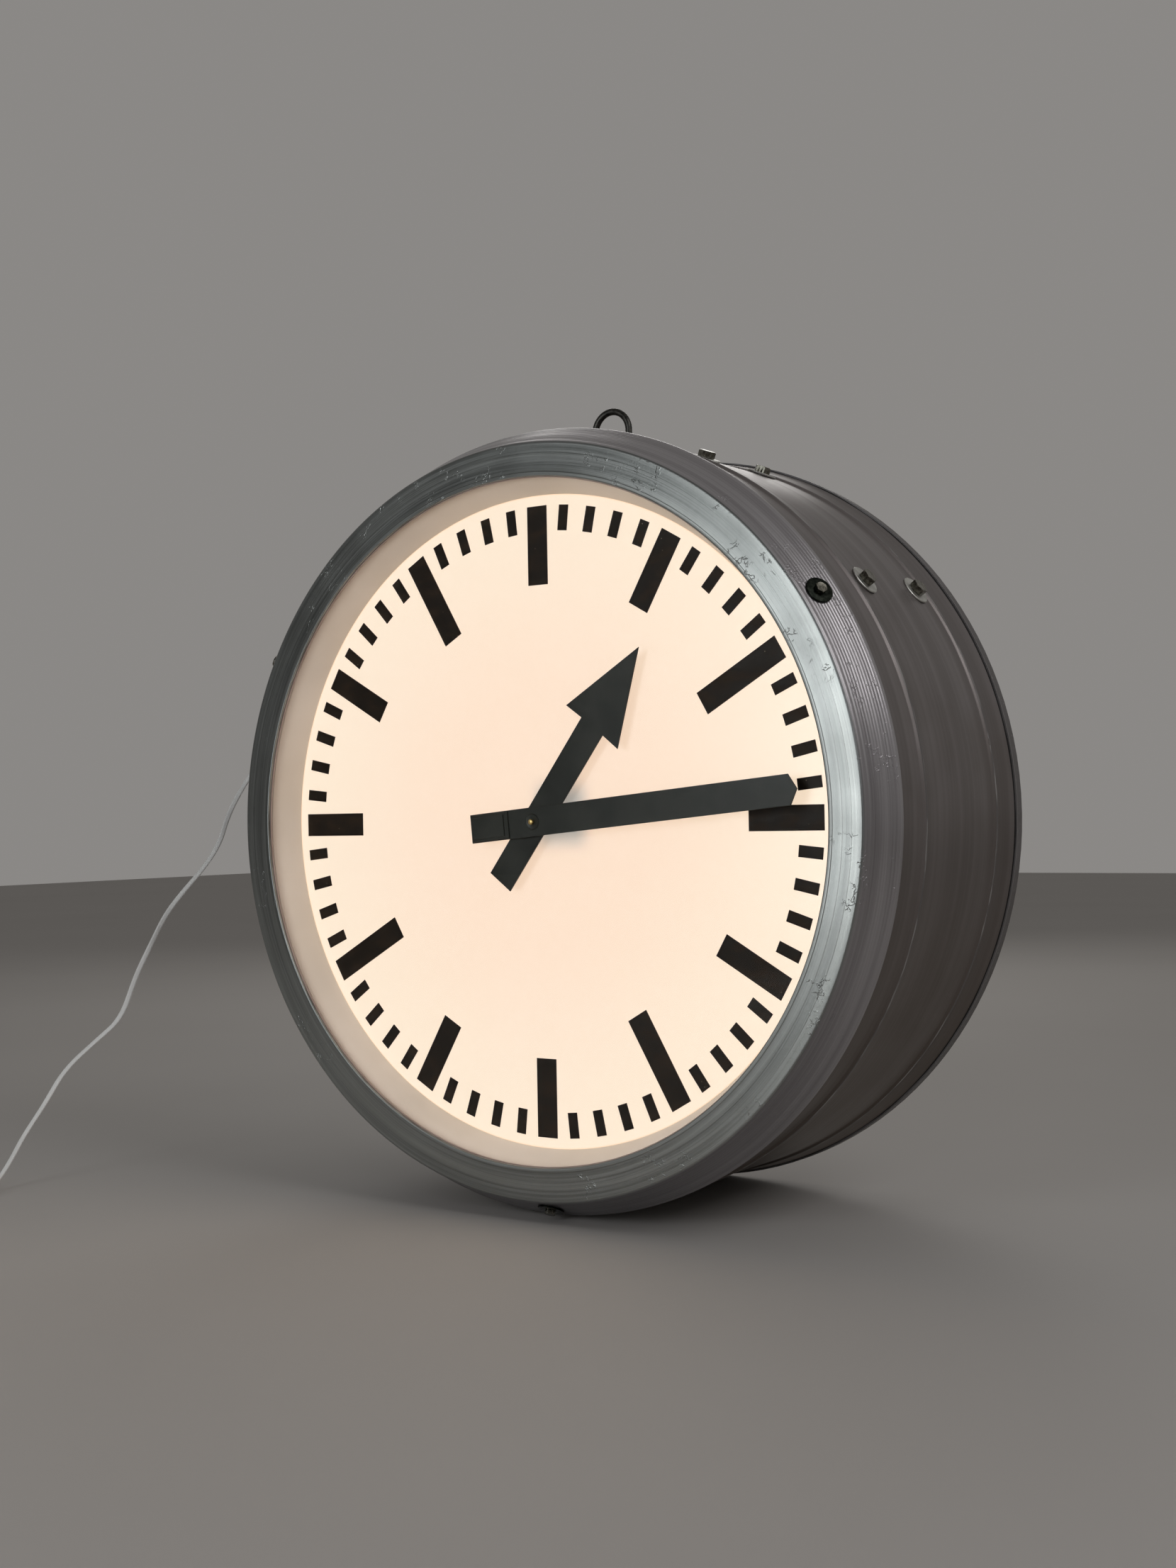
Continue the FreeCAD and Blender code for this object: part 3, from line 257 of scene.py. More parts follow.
def opal():
    """White acrylic lit from behind: warmer in the middle, paler near the lamps at its edge."""
    finish = Finish("opal", Roughness=0.22, Specular_IOR_Level=0.4, Emission_Strength=0.86)
    x, y, z, radius = finish.axes()
    edge = finish.step(radius, 0.10, 0.295)
    cloud = finish.noise(0.16, 1.0)
    glow = finish.mix(edge, (1.0, 0.73, 0.54), (1.0, 0.80, 0.60))
    glow = finish.mix(finish.step(cloud, 0.35, 0.7, 0.0, 0.10), glow, (1.0, 0.77, 0.62))
    # Painted light at the dial's edge: the glow turns deeper orange in a thin band at the foot of the
    # reflector wall, and painted shade darkens it under the wall.
    glow = finish.mix(finish.step(radius, 0.2880, 0.2893), glow, (1.0, 0.68, 0.40))
    rim = finish.step(radius, 0.2915, 0.2925)
    glow = finish.mix(rim, glow, (0.30, 0.20, 0.13))
    shade = movement_shade(finish, x, z)
    glow = finish.mix(shade, glow, (0.30, 0.31, 0.30))
    grain = finish.noise(0.0012, 1.0)
    sheet = finish.mix(grain, (0.25, 0.245, 0.24), (0.28, 0.275, 0.27))
    finish.surface(Base_Color=sheet, Emission_Color=glow, Normal=finish.bump(grain, 0.00002, 0.2))
    return finish.material


def movement_shade(finish, x, z):
    """The soft square shade that the movement casts on the opal sheet."""
    middle_x, middle_z = 0.020, 0.006
    half, blur = 0.013, 0.025
    across = finish.math("ABSOLUTE", finish.math("SUBTRACT", x, middle_x))
    along = finish.math("ABSOLUTE", finish.math("SUBTRACT", z, middle_z))
    inside = finish.step(across, half, half + blur, 0.9, 0.0)
    return finish.math("MULTIPLY", inside, finish.step(along, half, half + blur, 0.9, 0.0))


def mark_black():
    """Brown-black film with faint scuffs and a few specks of dust."""
    finish = Finish("mark_black", Specular_IOR_Level=0.14)
    scuff = finish.noise(0.02, 4.0, (1.0, 1.0, 0.5))
    speck = finish.node("TexVoronoi", {"Vector": finish.place, "Scale": 140.0}).outputs["Distance"]
    sparse = finish.step(finish.noise(0.015, 1.0), 0.52, 0.6)
    dust = finish.math("MULTIPLY", finish.step(speck, 0.05, 0.09, 1.0, 0.0), sparse)
    colour = finish.mix(finish.step(scuff, 0.4, 0.7), (0.008, 0.004, 0.001), (0.019, 0.010, 0.004))
    colour = finish.mix(finish.math("MULTIPLY", dust, 0.5), colour, (0.35, 0.28, 0.2))
    finish.surface(Base_Color=colour, Roughness=finish.step(scuff, 0.3, 0.7, 0.42, 0.6),
                   Normal=finish.bump(scuff, 0.0001, 0.3))
    return finish.material


def hand_black():
    """Satin black paint on sheet metal, a little uneven."""
    finish = Finish("hand_black", Specular_IOR_Level=0.28, Coat_Weight=0.05, Coat_Roughness=0.2)
    wave = finish.noise(0.03, 2.0)
    grain = finish.noise(0.0009, 2.0)
    colour = finish.mix(finish.step(wave, 0.35, 0.65), (0.010, 0.011, 0.008), (0.017, 0.018, 0.0135))
    rough = finish.math("ADD", finish.step(wave, 0.3, 0.7, 0.34, 0.44),
                        finish.step(grain, 0.3, 0.7, 0.0, 0.05))
    rippled = finish.bump(wave, 0.0012, 0.25)
    finish.surface(Base_Color=colour, Roughness=rough, Normal=finish.bump(grain, 0.00005, 0.3, rippled))
    return finish.material


def clear_glass():
    """A clear pane with the faintest smears."""
    finish = Finish("clear_glass", Base_Color=(0.985, 0.995, 0.99), IOR=1.22, Transmission_Weight=1.0,
                    Roughness=0.0)
    smear = finish.noise(0.05, 2.0)
    finish.surface(Normal=finish.bump(smear, 0.00002, 0.1))
    return finish.material


def metal(name, dark, light, rough, size=0.004, scratches=0.0):
    """Bare or plated metal with slight variation in tone and gloss."""
    finish = Finish(name, Metallic=1.0)
    tone = finish.noise(size, 3.0)
    grain = finish.noise(0.0006, 2.0, (6.0, 1.0, 1.0))
    colour = finish.mix(finish.step(tone, 0.3, 0.7), dark, light)
    spread = finish.math("ADD", finish.step(tone, 0.3, 0.7, rough, rough + 0.12),
                         finish.step(grain, 0.3, 0.7, 0.0, scratches))
    finish.surface(Base_Color=colour, Roughness=spread, Normal=finish.bump(grain, 0.00004, 0.35))
    return finish.material


def moulded(name, dark, light, rough, size=0.006, specular=0.5, texture=0.00004):
    """Moulded plastic, rubber or plain paint with slight variation and a fine grain."""
    finish = Finish(name, Specular_IOR_Level=specular)
    tone = finish.noise(size, 3.0)
    grain = finish.noise(0.0007, 2.0)
    finish.surface(Base_Color=finish.mix(finish.step(tone, 0.3, 0.7), dark, light),
                   Roughness=finish.step(tone, 0.25, 0.75, rough, rough + 0.1),
                   Normal=finish.bump(grain, texture, 0.5))
    return finish.material


def reflector_white():
    """Warm white paint inside the bezel, with painted shade darkening it towards the glass."""
    finish = Finish("reflector_white", Specular_IOR_Level=0.3)
    x, y, z, radius = finish.axes()
    cloud = finish.noise(0.08, 3.0)
    # Painted shade: darker towards the glass, away from the dial's glow.
    outer = finish.step(y, -0.262, -0.271)
    colour = finish.mix(finish.step(cloud, 0.3, 0.7), (0.78, 0.665, 0.565), (0.84, 0.725, 0.63))
    colour = finish.mix(finish.math("MULTIPLY", outer, 0.5), colour, (0.66, 0.54, 0.46))
    finish.surface(Base_Color=colour, Roughness=finish.step(cloud, 0.3, 0.7, 0.5, 0.62),
                   Normal=finish.bump(finish.noise(0.003, 2.0), 0.00008, 0.3))
    return finish.material


MATERIALS = {
    "bezel_paint": bezel_paint(),
    "drum_paint": drum_paint(),
    "cover_paint": cover_paint(),
    "band_paint": moulded("band_paint", (0.20, 0.195, 0.20), (0.26, 0.255, 0.26), 0.36, 0.012),
    "crest": crest_highlight_paint(),
    "opal": opal(),
    "mark_black": mark_black(),
    "hand_black": hand_black(),
    "glass": clear_glass(),
    "reflector_white": reflector_white(),
    "seal_white": moulded("seal_white", (0.50, 0.36, 0.31), (0.58, 0.44, 0.39), 0.35, 0.02),
    "seal_black": moulded("seal_black", (0.006, 0.006, 0.006), (0.012, 0.012, 0.012), 0.55, 0.02),
    "zinc": metal("zinc", (0.58, 0.58, 0.55), (0.78, 0.78, 0.75), 0.22, 0.003, 0.1),
    "bolt_zinc": metal("bolt_zinc", (0.13, 0.125, 0.10), (0.30, 0.29, 0.25), 0.13, 0.003, 0.06),
    "dark_zinc": metal("dark_zinc", (0.045, 0.045, 0.042), (0.10, 0.095, 0.085), 0.28, 0.004, 0.12),
    "black_washer": metal("black_washer", (0.012, 0.015, 0.012), (0.03, 0.035, 0.028), 0.14, 0.004, 0.05),
    "pale_zinc": metal("pale_zinc", (0.52, 0.52, 0.49), (0.70, 0.70, 0.66), 0.34, 0.006, 0.1),
    "brass": metal("brass", (0.52, 0.34, 0.11), (0.80, 0.60, 0.26), 0.2, 0.002, 0.08),
    "steel": metal("steel", (0.40, 0.40, 0.41), (0.58, 0.58, 0.58), 0.25, 0.004, 0.1),
    "copper": metal("copper", (0.45, 0.17, 0.07), (0.70, 0.33, 0.16), 0.28, 0.0008, 0.1),
    "case_plastic": moulded("case_plastic", (0.016, 0.016, 0.017), (0.026, 0.026, 0.027), 0.45),
    "board_green": moulded("board_green", (0.012, 0.085, 0.03), (0.02, 0.12, 0.045), 0.3, 0.003),
    "battery_wrap": moulded("battery_wrap", (0.03, 0.034, 0.045), (0.05, 0.055, 0.07), 0.25, 0.01),
    "tape_white": moulded("tape_white", (0.70, 0.69, 0.65), (0.80, 0.79, 0.75), 0.4, 0.01),
    "lead_white": moulded("lead_white", (0.88, 0.88, 0.86), (0.94, 0.94, 0.92), 0.4, 0.02, 0.5, 0.00008),
}


# ---- mesh helpers ----


def add_object(name, mesh, material, body=CASE, crease=32.0):
    mesh.materials.append(MATERIALS[material])
    for polygon in mesh.polygons:
        polygon.use_smooth = True
    mesh.set_sharp_from_angle(angle=math.radians(crease))
    item = bpy.data.objects.new(name, mesh)
    bpy.context.scene.collection.objects.link(item)
    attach(item, body)
    return item


def mesh_from(name, points, faces):
    mesh = bpy.data.meshes.new(name)
    mesh.from_pydata([tuple(point) for point in points], [], faces)
    work = bmesh.new()
    work.from_mesh(mesh)
    bmesh.ops.recalc_face_normals(work, faces=work.faces)
    work.to_mesh(mesh)
    work.free()
    return mesh


def softened(corners, steps=4):
    """Rounds each corner (a, b, radius) of a closed outline; a corner with no radius stays."""
    outline = []
    count = len(corners)
    for index, corner in enumerate(corners):
        here = Vector(corner[:2])
        radius = corner[2] if len(corner) > 2 else 0.0
        if not radius:
            outline.append(here)
            continue
        before = Vector(corners[index - 1][:2]) - here
        after = Vector(corners[(index + 1) % count][:2]) - here
        start = here + before.normalized() * min(radius, before.length * 0.48)
        end = here + after.normalized() * min(radius, after.length * 0.48)
        for step in range(steps + 1):
            share = step / steps
            outline.append(start.lerp(here, share).lerp(here.lerp(end, share), share))
    return outline


def lathe(name, outline, segments=288, first=0.0, sweep=360.0, wobble=None):
    """Turns a closed outline of (radius, y) in millimetres about the clock's axis."""
    whole = sweep >= 360.0
    stations = segments if whole else segments + 1
    count = len(outline)
    points = []
    for station in range(stations):
        angle = math.radians(first + sweep * station / segments)
        for radius, y in outline:
            if wobble:
                radius, y = wobble(angle, radius, y)
            points.append((radius * math.sin(angle) * MM, y * MM, radius * math.cos(angle) * MM))
    faces = []
    for station in range(segments):
        here = station * count
        there = (station + 1) % stations * count
        for index in range(count):
            after = (index + 1) % count
            faces.append((here + index, here + after, there + after, there + index))
    if not whole:
        faces.append(tuple(range(count)))
        faces.append(tuple(range(segments * count, segments * count + count))[::-1])
    return mesh_from(name, points, faces)


def spun(profile, place, segments=48):
    """Turns a profile of (radius, height) in millimetres about a place's +Z."""
    points = []
    rings = []
    for radius, height in profile:
        if radius < 1e-6:
            rings.append([len(points)])
            points.append(place @ (Vector((0, 0, height)) * MM))
            continue
        rings.append(list(range(len(points), len(points) + segments)))
        for index in range(segments):
            turn = 2 * math.pi * index / segments
            points.append(place @ (Vector((radius * math.cos(turn), radius * math.sin(turn), height)) * MM))
    return points, ring_faces(rings)


def hollow_spun(profile, place, segments):
    """Turns a closed outline of (radius, height) that keeps clear of the axis."""
    points, faces = spun(profile, place, segments)
    last = (len(profile) - 1) * segments
    for index in range(segments):
        after = (index + 1) % segments
        faces.append((last + index, index, after, last + after))
    return points, faces


def ring_faces(rings):
    """Faces between rings of the same number of points, or one point at a pole."""
    faces = []
    for low, high in zip(rings, rings[1:]):
        count = max(len(low), len(high))
        for index in range(count):
            after = (index + 1) % count
            if len(low) == 1:
                faces.append((low[0], high[index], high[after]))
            elif len(high) == 1:
                faces.append((low[index], high[0], low[after]))
            else:
                faces.append((low[index], high[index], high[after], low[after]))
    return faces


class Builder:
    """Collects several closed forms into one mesh."""

    def __init__(self):
        self.points = []
        self.faces = []

    def add(self, points, faces):
        base = len(self.points)
        self.points += points
        self.faces += [tuple(base + index for index in face) for face in faces]

    def mesh(self, name):
        return mesh_from(name, self.points, self.faces)


def radial(radius, angle, plane, lean=0.0):
    """Local +Z points out from the clock's axis at a clock angle, leant towards the front."""
    turn = Matrix.Rotation(math.radians(angle), 4, "Y")
    tilt = Matrix.Rotation(math.radians(lean), 4, "X")
    return turn @ Matrix.Translation((0, -plane * MM, radius * MM)) @ tilt


def hex_head(across, height, place, shank, length, spin=0.0):
    """A bolt from its shank's tip, at -length, to a head whose corners are cut by a shallow cone."""
    segments = 72
    half = across / 2
    flat = half * 0.965
    rings = [[(0.0, -length)], [], [], [], [], [], [], []]
    for index in range(segments):
        turn = 2 * math.pi * index / segments
        corner = half / math.cos((turn + math.pi / 6) % (math.pi / 3) - math.pi / 6)
        drop = (corner - flat) * math.tan(math.radians(27))
        rings[1].append((shank, -length))
        rings[2].append((shank, 0.0))
        rings[3].append((min(corner, half * 0.985), 0.0))
        rings[4].append((corner - 0.12, 0.35))
        rings[5].append((corner, height - drop))
        rings[6].append((flat, height))
        rings[7].append((flat * 0.55, height - 0.12))
    rings.append([(0.0, height - 0.18)])
    points = []
    indices = []
    for ring in rings:
        indices.append(list(range(len(points), len(points) + len(ring))))
        for index, (radius, level) in enumerate(ring):
            turn = 2 * math.pi * index / segments + math.radians(spin)
            local = Vector((radius * math.cos(turn), radius * math.sin(turn), level)) * MM
            points.append(place @ local)
    return points, ring_faces(indices)


def plain_washer(outer, inner, thickness, place, dish=0.0):
    """A pressed washer with a rounded upper edge; a dish lifts its middle."""
    half = 0.35 * thickness
    profile = [(inner, 0.0), (outer - half * 0.5, 0.0), (outer, half), (outer, thickness - half),
               (outer - half, thickness), (inner + (outer - inner) * 0.4, thickness + dish * 0.6),
               (inner + half, thickness + dish), (inner, thickness + dish - half)]
    return hollow_spun(profile, place, 64)


def slab(outline, front, back, turn, edge=0.25):
    """A flat plate in the clock's own plane, its outline (x, z) turned clockwise, with rounded edges."""
    inner = inset(outline, edge)
    levels = [(inner, back), (outline, back - edge), (outline, front + edge), (inner, front)]
    angle = math.radians(turn)
    points = []
    count = len(outline)
    for ring, y in levels:
        for x, z in ring:
            points.append(Vector((x * math.cos(angle) + z * math.sin(angle), y,
                                  -x * math.sin(angle) + z * math.cos(angle))) * MM)
    faces = [tuple(range(count)), tuple(range(3 * count, 4 * count))[::-1]]
    for level in range(3):
        for index in range(count):
            after = (index + 1) % count
            base = level * count
            faces.append((base + index, base + after, base + count + after, base + count + index))
    return points, faces


def inset(outline, distance):
    """Moves each side of an anticlockwise outline inwards."""
    moved = []
    count = len(outline)
    for index in range(count):
        here = Vector(outline[index])
        into = (here - Vector(outline[index - 1])).normalized()
        out = (Vector(outline[(index + 1) % count]) - here).normalized()
        side = Vector((-into.y, into.x)) + Vector((-out.y, out.x))
        moved.append(here + side.normalized() * distance / max(0.3, side.length / 2))
    return [tuple(point) for point in moved]


# ---- supply lead ----

LEAD_WIDTH = 0.0052
LEAD_THICK = 0.0029
# The same stations as the CAD tube, from inside the strain relief to the coil.
LEAD_ROUTE = [
    (-0.3357, -0.1200, 0.0837), (-0.3639, -0.1200, 0.0907), (-0.3810, -0.1204, 0.0944),
    (-0.4040, -0.1218, 0.0930), (-0.4280, -0.1246, 0.0846), (-0.4490, -0.1290, 0.0710),
    (-0.4640, -0.1360, 0.0540), (-0.4710, -0.1470, 0.0340), (-0.4720, -0.1630, 0.0100),
    (-0.4660, -0.1810, -0.0180), (-0.4730, -0.1960, -0.0420), (-0.4890, -0.2140, -0.0690),
    (-0.4990, -0.2290, -0.0920), (-0.4980, -0.2520, -0.1240), (-0.5000, -0.2700, -0.1530),
    (-0.4950, -0.2930, -0.1920), (-0.5110, -0.3120, -0.2130), (-0.5320, -0.3360, -0.2410),
    (-0.5370, -0.3570, -0.2730), (-0.5450, -0.3770, -0.3020), (-0.5425, -0.3940, -0.3220),
    (-0.5395, -0.4090, -0.3355), (-0.5360, -0.4220, -0.3435), (-0.5320, -0.4340, -0.3468),
    (-0.5275, -0.4450, -0.3468),
]
TAIL_ROUTE = [
    (-0.5430, -0.5078, -0.3468), (-0.5525, -0.5219, -0.3468), (-0.5680, -0.5289, -0.3456),
    (-0.5848, -0.5269, -0.3434), (-0.5982, -0.5163, -0.3424),
]
COIL_CENTRE = Vector((-0.5480, -0.4730, FLOOR))
PLUG_TURN = 141.7


def coil_points():
    """Turns wound clockwise from the outer bottom, two to a layer, the last one dropping off outside."""
    per_turn = 16
    start = math.radians(53.8)
    turns = 5.377
    # (turns wound, radius, layer) at which the winding changes; in between it moves smoothly
    stages = [(0.0, 34.3, 0), (0.10, 32.6, 0), (0.92, 32.6, 0), (1.08, 27.4, 0), (1.92, 27.4, 0),
              (2.08, 27.4, 1), (2.92, 27.4, 1), (3.08, 32.6, 1), (3.92, 32.6, 1), (4.08, 32.6, 2),
              (5.12, 32.6, 2), (turns, 36.2, 1.1)]
    points = []
    for index in range(1, int(turns * per_turn) + 1):
        wound = index / per_turn
        for (t0, r0, l0), (t1, r1, l1) in zip(stages, stages[1:]):
            if t0 <= wound <= t1:
                share = (wound - t0) / (t1 - t0)
                share = share * share * (3 - 2 * share)
                radius = (r0 + (r1 - r0) * share + 0.35 * math.sin(wound * 4.1)) * MM
                height = LEAD_WIDTH * (0.5 + l0 + (l1 - l0) * share)
        angle = start - 2 * math.pi * wound
        points.append(COIL_CENTRE + Vector((radius * math.cos(angle), radius * math.sin(angle), height)))
    return points


def make_lead_section():
    """The flat twin lead cut across, with a waist between its two cores."""
    section = bpy.data.curves.new("lead_section", "CURVE")
    section.dimensions = "2D"
    ring = section.splines.new("POLY")
    count = 20
    ring.points.add(count - 1)
    for index in range(count):
        turn = 2 * math.pi * index / count
        x = LEAD_WIDTH / 2 * math.cos(turn)
        waist = 1.0 - 0.2 * math.exp(-(x / 0.0007) ** 2)
        ring.points[index].co = (x, LEAD_THICK / 2 * math.sin(turn) * waist, 0, 1)
    ring.use_cyclic_u = True
    item = bpy.data.objects.new("lead_section", section)
    bpy.context.scene.collection.objects.link(item)
    item.hide_render = True
    item.hide_viewport = True
    return item


def lead_twist(index, count):
    """The lead sways as it hangs, lies flat where it lands and at the plug, and is wound edge on."""
    first = len(LEAD_ROUTE)
    if index < first:
        hanging = min(1.0, max(0, first - index - 5) / 4)
        return (0.3 * math.sin(index * 0.9) - 0.95) * hanging
    into = min(1.0, (index - first + 1) / 5)
    away = min(1.0, max(0.0, (count - index - 2) / 5))
    return math.radians(90) * min(into, away)


def make_lead():
    data = bpy.data.curves.new("supply_flex", "CURVE")
    data.dimensions = "3D"
    data.twist_mode = "Z_UP"
    route = [Vector(point) for point in LEAD_ROUTE] + coil_points() + [Vector(point) for point in TAIL_ROUTE]
    spline = data.splines.new("NURBS")
    spline.points.add(len(route) - 1)
    for index, point in enumerate(route):
        spline.points[index].co = (*point, 1)
        spline.points[index].tilt = lead_twist(index, len(route))
    spline.order_u = 3
    spline.use_endpoint_u = True
    spline.resolution_u = 6
    data.bevel_mode = "OBJECT"
    data.bevel_object = make_lead_section()
    data.use_fill_caps = True
    data.materials.append(MATERIALS["lead_white"])
    lead = bpy.data.objects.new("supply_flex", data)
    bpy.context.scene.collection.objects.link(lead)
    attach(lead, CASE)
    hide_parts("supply_lead", "lead_coil", "lead_tail")
    return lead


def make_strain_relief():
    """A moulded bush in the drum's wall with a ribbed, tapering tail."""
    place = radial(DRUM_RADIUS, -76.0, 120.0)
    profile = [(2.7, -4.6), (6.3, -4.6), (6.5, -4.2), (6.5, -2.8), (4.9, -2.6), (4.9, 0.2), (7.3, 0.2),
               (7.5, 0.5), (7.5, 2.3), (7.1, 2.7), (5.3, 2.9)]
    rib = 3.1
    start = 4.2
    for index in range(6):
        height = start + index * rib
        radius = 5.2 - 1.7 * (height - start) / 20.0
        groove = radius - 0.8
        profile += [(radius, height), (radius, height + 1.7), (groove, height + 1.9), (groove, height + 2.9)]
    profile += [(3.6, 23.2), (3.5, 24.4), (3.2, 24.7), (2.75, 24.7)]
    mesh = mesh_from("lead_bush", *hollow_spun(profile, place, 40))
    relief = add_object("lead_bush", mesh, "lead_white")
    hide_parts("strain_relief")
    return relief


def make_coil_tie():
    """A flat tie round the turns on the side away from the plug."""
    angle = math.radians(20.0)
    out = Vector((math.cos(angle), math.sin(angle), 0.0))
    along = Vector((-math.sin(angle), math.cos(angle), 0.0))
    middle = COIL_CENTRE + out * 0.0300
    half_width, top = 0.0062, 0.0160
    loop = [(-half_width, 0.0010), (-half_width, top * 0.5), (-half_width * 0.9, top), (0.0, top + 0.0004),
            (half_width * 0.9, top), (half_width, top * 0.5), (half_width, 0.0010), (0.0, 0.0007)]
    smooth = []
    for here, after in zip(loop, loop[1:] + loop[:1]):
        smooth += [Vector(here).lerp(Vector(after), 0.25), Vector(here).lerp(Vector(after), 0.75)]
    section = ((-2.0, 0.0), (-1.7, -0.5), (1.7, -0.5), (2.0, 0.0), (1.7, 0.5), (-1.7, 0.5))
    rings = []
    points = []
    for index, point in enumerate(smooth):
        normal = (smooth[(index + 1) % len(smooth)] - smooth[index - 1]).normalized()
        side = Vector((normal.y, -normal.x))
        rings.append(list(range(len(points), len(points) + len(section))))
        for across, thick in section:
            flat = point + side * thick * MM
            points.append(middle + out * flat.x + Vector((0, 0, 1)) * flat.y + along * across * MM)
    mesh = mesh_from("lead_tie", points, ring_faces(rings + [rings[0]]))
    tie = add_object("lead_tie", mesh, "case_plastic")
    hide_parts("coil_tie")
    return tie


def make_plug():
    """A flat two-pin plug: a soft body with a grip, a collar and two sleeved pins."""
    place = Matrix.Translation(Vector(TAIL_ROUTE[-1])) @ Matrix.Rotation(math.radians(PLUG_TURN), 4, "Z")
    front = 58.0
    # (distance along the plug, half width, half height, squareness)
    stations = [(0.0, 0.0, 0.0, 2.0), (0.0, 3.4, 3.2, 2.0), (0.6, 3.7, 3.5, 2.0), (6.0, 3.9, 3.8, 2.0),
                (12.0, 4.4, 4.3, 2.0), (18.0, 5.4, 5.2, 2.2), (22.0, 8.6, 6.2, 2.6), (26.0, 13.6, 6.6, 3.0),
                (31.0, 16.4, 6.7, 3.2), (38.0, 17.3, 6.8, 3.4), (44.0, 17.4, 6.8, 3.6),
                (45.2, 16.6, 6.3, 3.6), (46.4, 16.6, 6.3, 3.6), (47.6, 17.5, 6.85, 3.6),
                (55.6, 17.5, 6.85, 3.6), (57.4, 16.9, 6.3, 3.4), (front, 15.6, 5.2, 3.2),
                (front, 0.0, 0.0, 2.0)]
    segments = 48
    points = []
    rings = []
    for distance, wide, high, square in stations:
        if wide == 0.0:
            rings.append([len(points)])
            points.append(place @ (Vector((distance, 0, 0)) * MM))
            continue
        ring = []
        for index in range(segments):
            turn = 2 * math.pi * index / segments
            cos, sin = math.cos(turn), math.sin(turn)
            y = wide * math.copysign(abs(cos) ** (2 / square), cos)
            z = high * math.copysign(abs(sin) ** (2 / square), sin)
            ring.append(len(points))
            points.append(place @ (Vector((distance, y, z)) * MM))
        rings.append(ring)
    mesh = mesh_from("plug_body", points, ring_faces(rings))
    body = add_object("plug_body", mesh, "lead_white", crease=40)
    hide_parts("mains_plug")
    builder = Builder()
    for side in (1, -1):
        root = Matrix.Translation(Vector((front, side * 9.3, 0)) * MM)
        pin = place @ root @ Matrix.Rotation(math.pi / 2, 4, "Y")
        profile = [(0.0, -0.5), (2.0, -0.5), (2.0, 9.6), (1.85, 9.8), (2.0, 10.0), (2.0, 17.4), (1.7, 18.4),
                   (1.0, 18.95), (0.0, 19.0)]
        builder.add(*spun(profile, pin, 28))
    pins = add_object("plug_contacts", builder.mesh("plug_contacts"), "brass")
    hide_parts("plug_pins")
    return body, pins


def make_cord():
    lead = make_lead()
    relief = make_strain_relief()
    tie = make_coil_tie()
    body, pins = make_plug()


make_cord()


# ---- bezel ----

# The outer edge of the front ring and of the cone behind it, and the cone's slope in degrees.
BEZEL_CORNER = (331.0, -276.5)
CONE_END = (347.3, -243.1)
BAND_TILT = 26.0


def cone_radius(y):
    share = (y - BEZEL_CORNER[1]) / (CONE_END[1] - BEZEL_CORNER[1])
    return BEZEL_CORNER[0] + (CONE_END[0] - BEZEL_CORNER[0]) * share


def make_bezel():
    outer, front = reach("bezel_ring")
    inner = 300.6
    corner, corner_y = BEZEL_CORNER
    bend_y = CONE_END[1]
    profile = [(inner, -276.0, 0.3), (inner, front, 1.1), (inner + 3.4, front, 0.6),
               (inner + 4.0, front + 0.25, 0.6), (inner + 12.0, front + 0.70, 0.8),
               (inner + 12.5, front + 0.80, 0.5), (inner + 20.0, front + 1.20, 0.8),
               (inner + 20.5, front + 1.30, 0.5), (corner - 1.5, corner_y - 0.75, 0.9),
               (corner, corner_y, 0.8)]
    profile += cone_ridges(corner, corner_y, outer, bend_y)
    profile += [(outer, bend_y, 1.8), (outer, bend_y + 3.6, 1.5), (outer - 3.9, bend_y + 5.6, 0.6),
                (outer - 3.9, bend_y + 3.8, 0.4), (outer - 1.6, bend_y + 2.7, 0.4),
                (outer - 1.6, bend_y + 0.4, 0.4), (corner - 1.0, -276.0, 0.5)]

    def wobble(angle, radius, y):
        around = Vector((math.sin(angle), math.cos(angle), y * 0.02)) * 5.0
        return radius + 0.10 * noise.noise(around), y + 0.05 * (noise.noise(around * 1.7) - 0.5)

    mesh = lathe("bezel", softened(profile), 360, wobble=wobble)
    ring = add_object("bezel", mesh, "bezel_paint", crease=40)
    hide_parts("bezel_ring")


def cone_ridges(low, low_y, high, high_y):
    """The cone between its two bends, with the shallow lines that spinning left in it."""
    points = []
    count = 84
    run = Vector((high - low, high_y - low_y))
    normal = Vector((run.y, -run.x)).normalized()
    for index in range(8, count - 6):
        share = index / count
        depth = 0.085 * math.sin(share * 12.5 * 2 * math.pi) * (0.7 + 0.3 * math.sin(share * 7.0))
        point = Vector((low, low_y)) + run * share - normal * (0.10 - depth)
        points.append((point.x, point.y, 0.0))
    return points


def make_strap():
    """A strip over the lap in the cone, held by rivets."""
    front, back = -268.0, -252.0
    low, high = cone_radius(front), cone_radius(back)
    profile = [(low + 0.05, front, 0.0), (low + 1.5, front, 0.5), (high + 1.5, back, 0.5),
               (high + 0.05, back, 0.0)]
    strap = add_object("cone_strap", lathe("strap", softened(profile, 3), 40, -59.85, 17.8), "band_paint")
    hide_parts("band_strap")
    builder = Builder()
    for angle in (-57.6, -50.95, -44.3):
        place = radial(cone_radius(-260.0) + 1.35, angle, 260.0, BAND_TILT)
        profile = [(0.0, -0.6), (2.6, -0.6), (2.6, 0.1), (2.3, 0.6), (1.6, 1.0), (0.8, 1.2), (0.0, 1.25)]
        builder.add(*spun(profile, place, 24))
    add_object("strap_rivets", builder.mesh("strap_rivets"), "band_paint")


# ---- drum ----

# The planes of the two rolled beads, and how far each spreads to either side.
BEADS = (-189.5, -44.5)
BEAD_HALF = 4.6


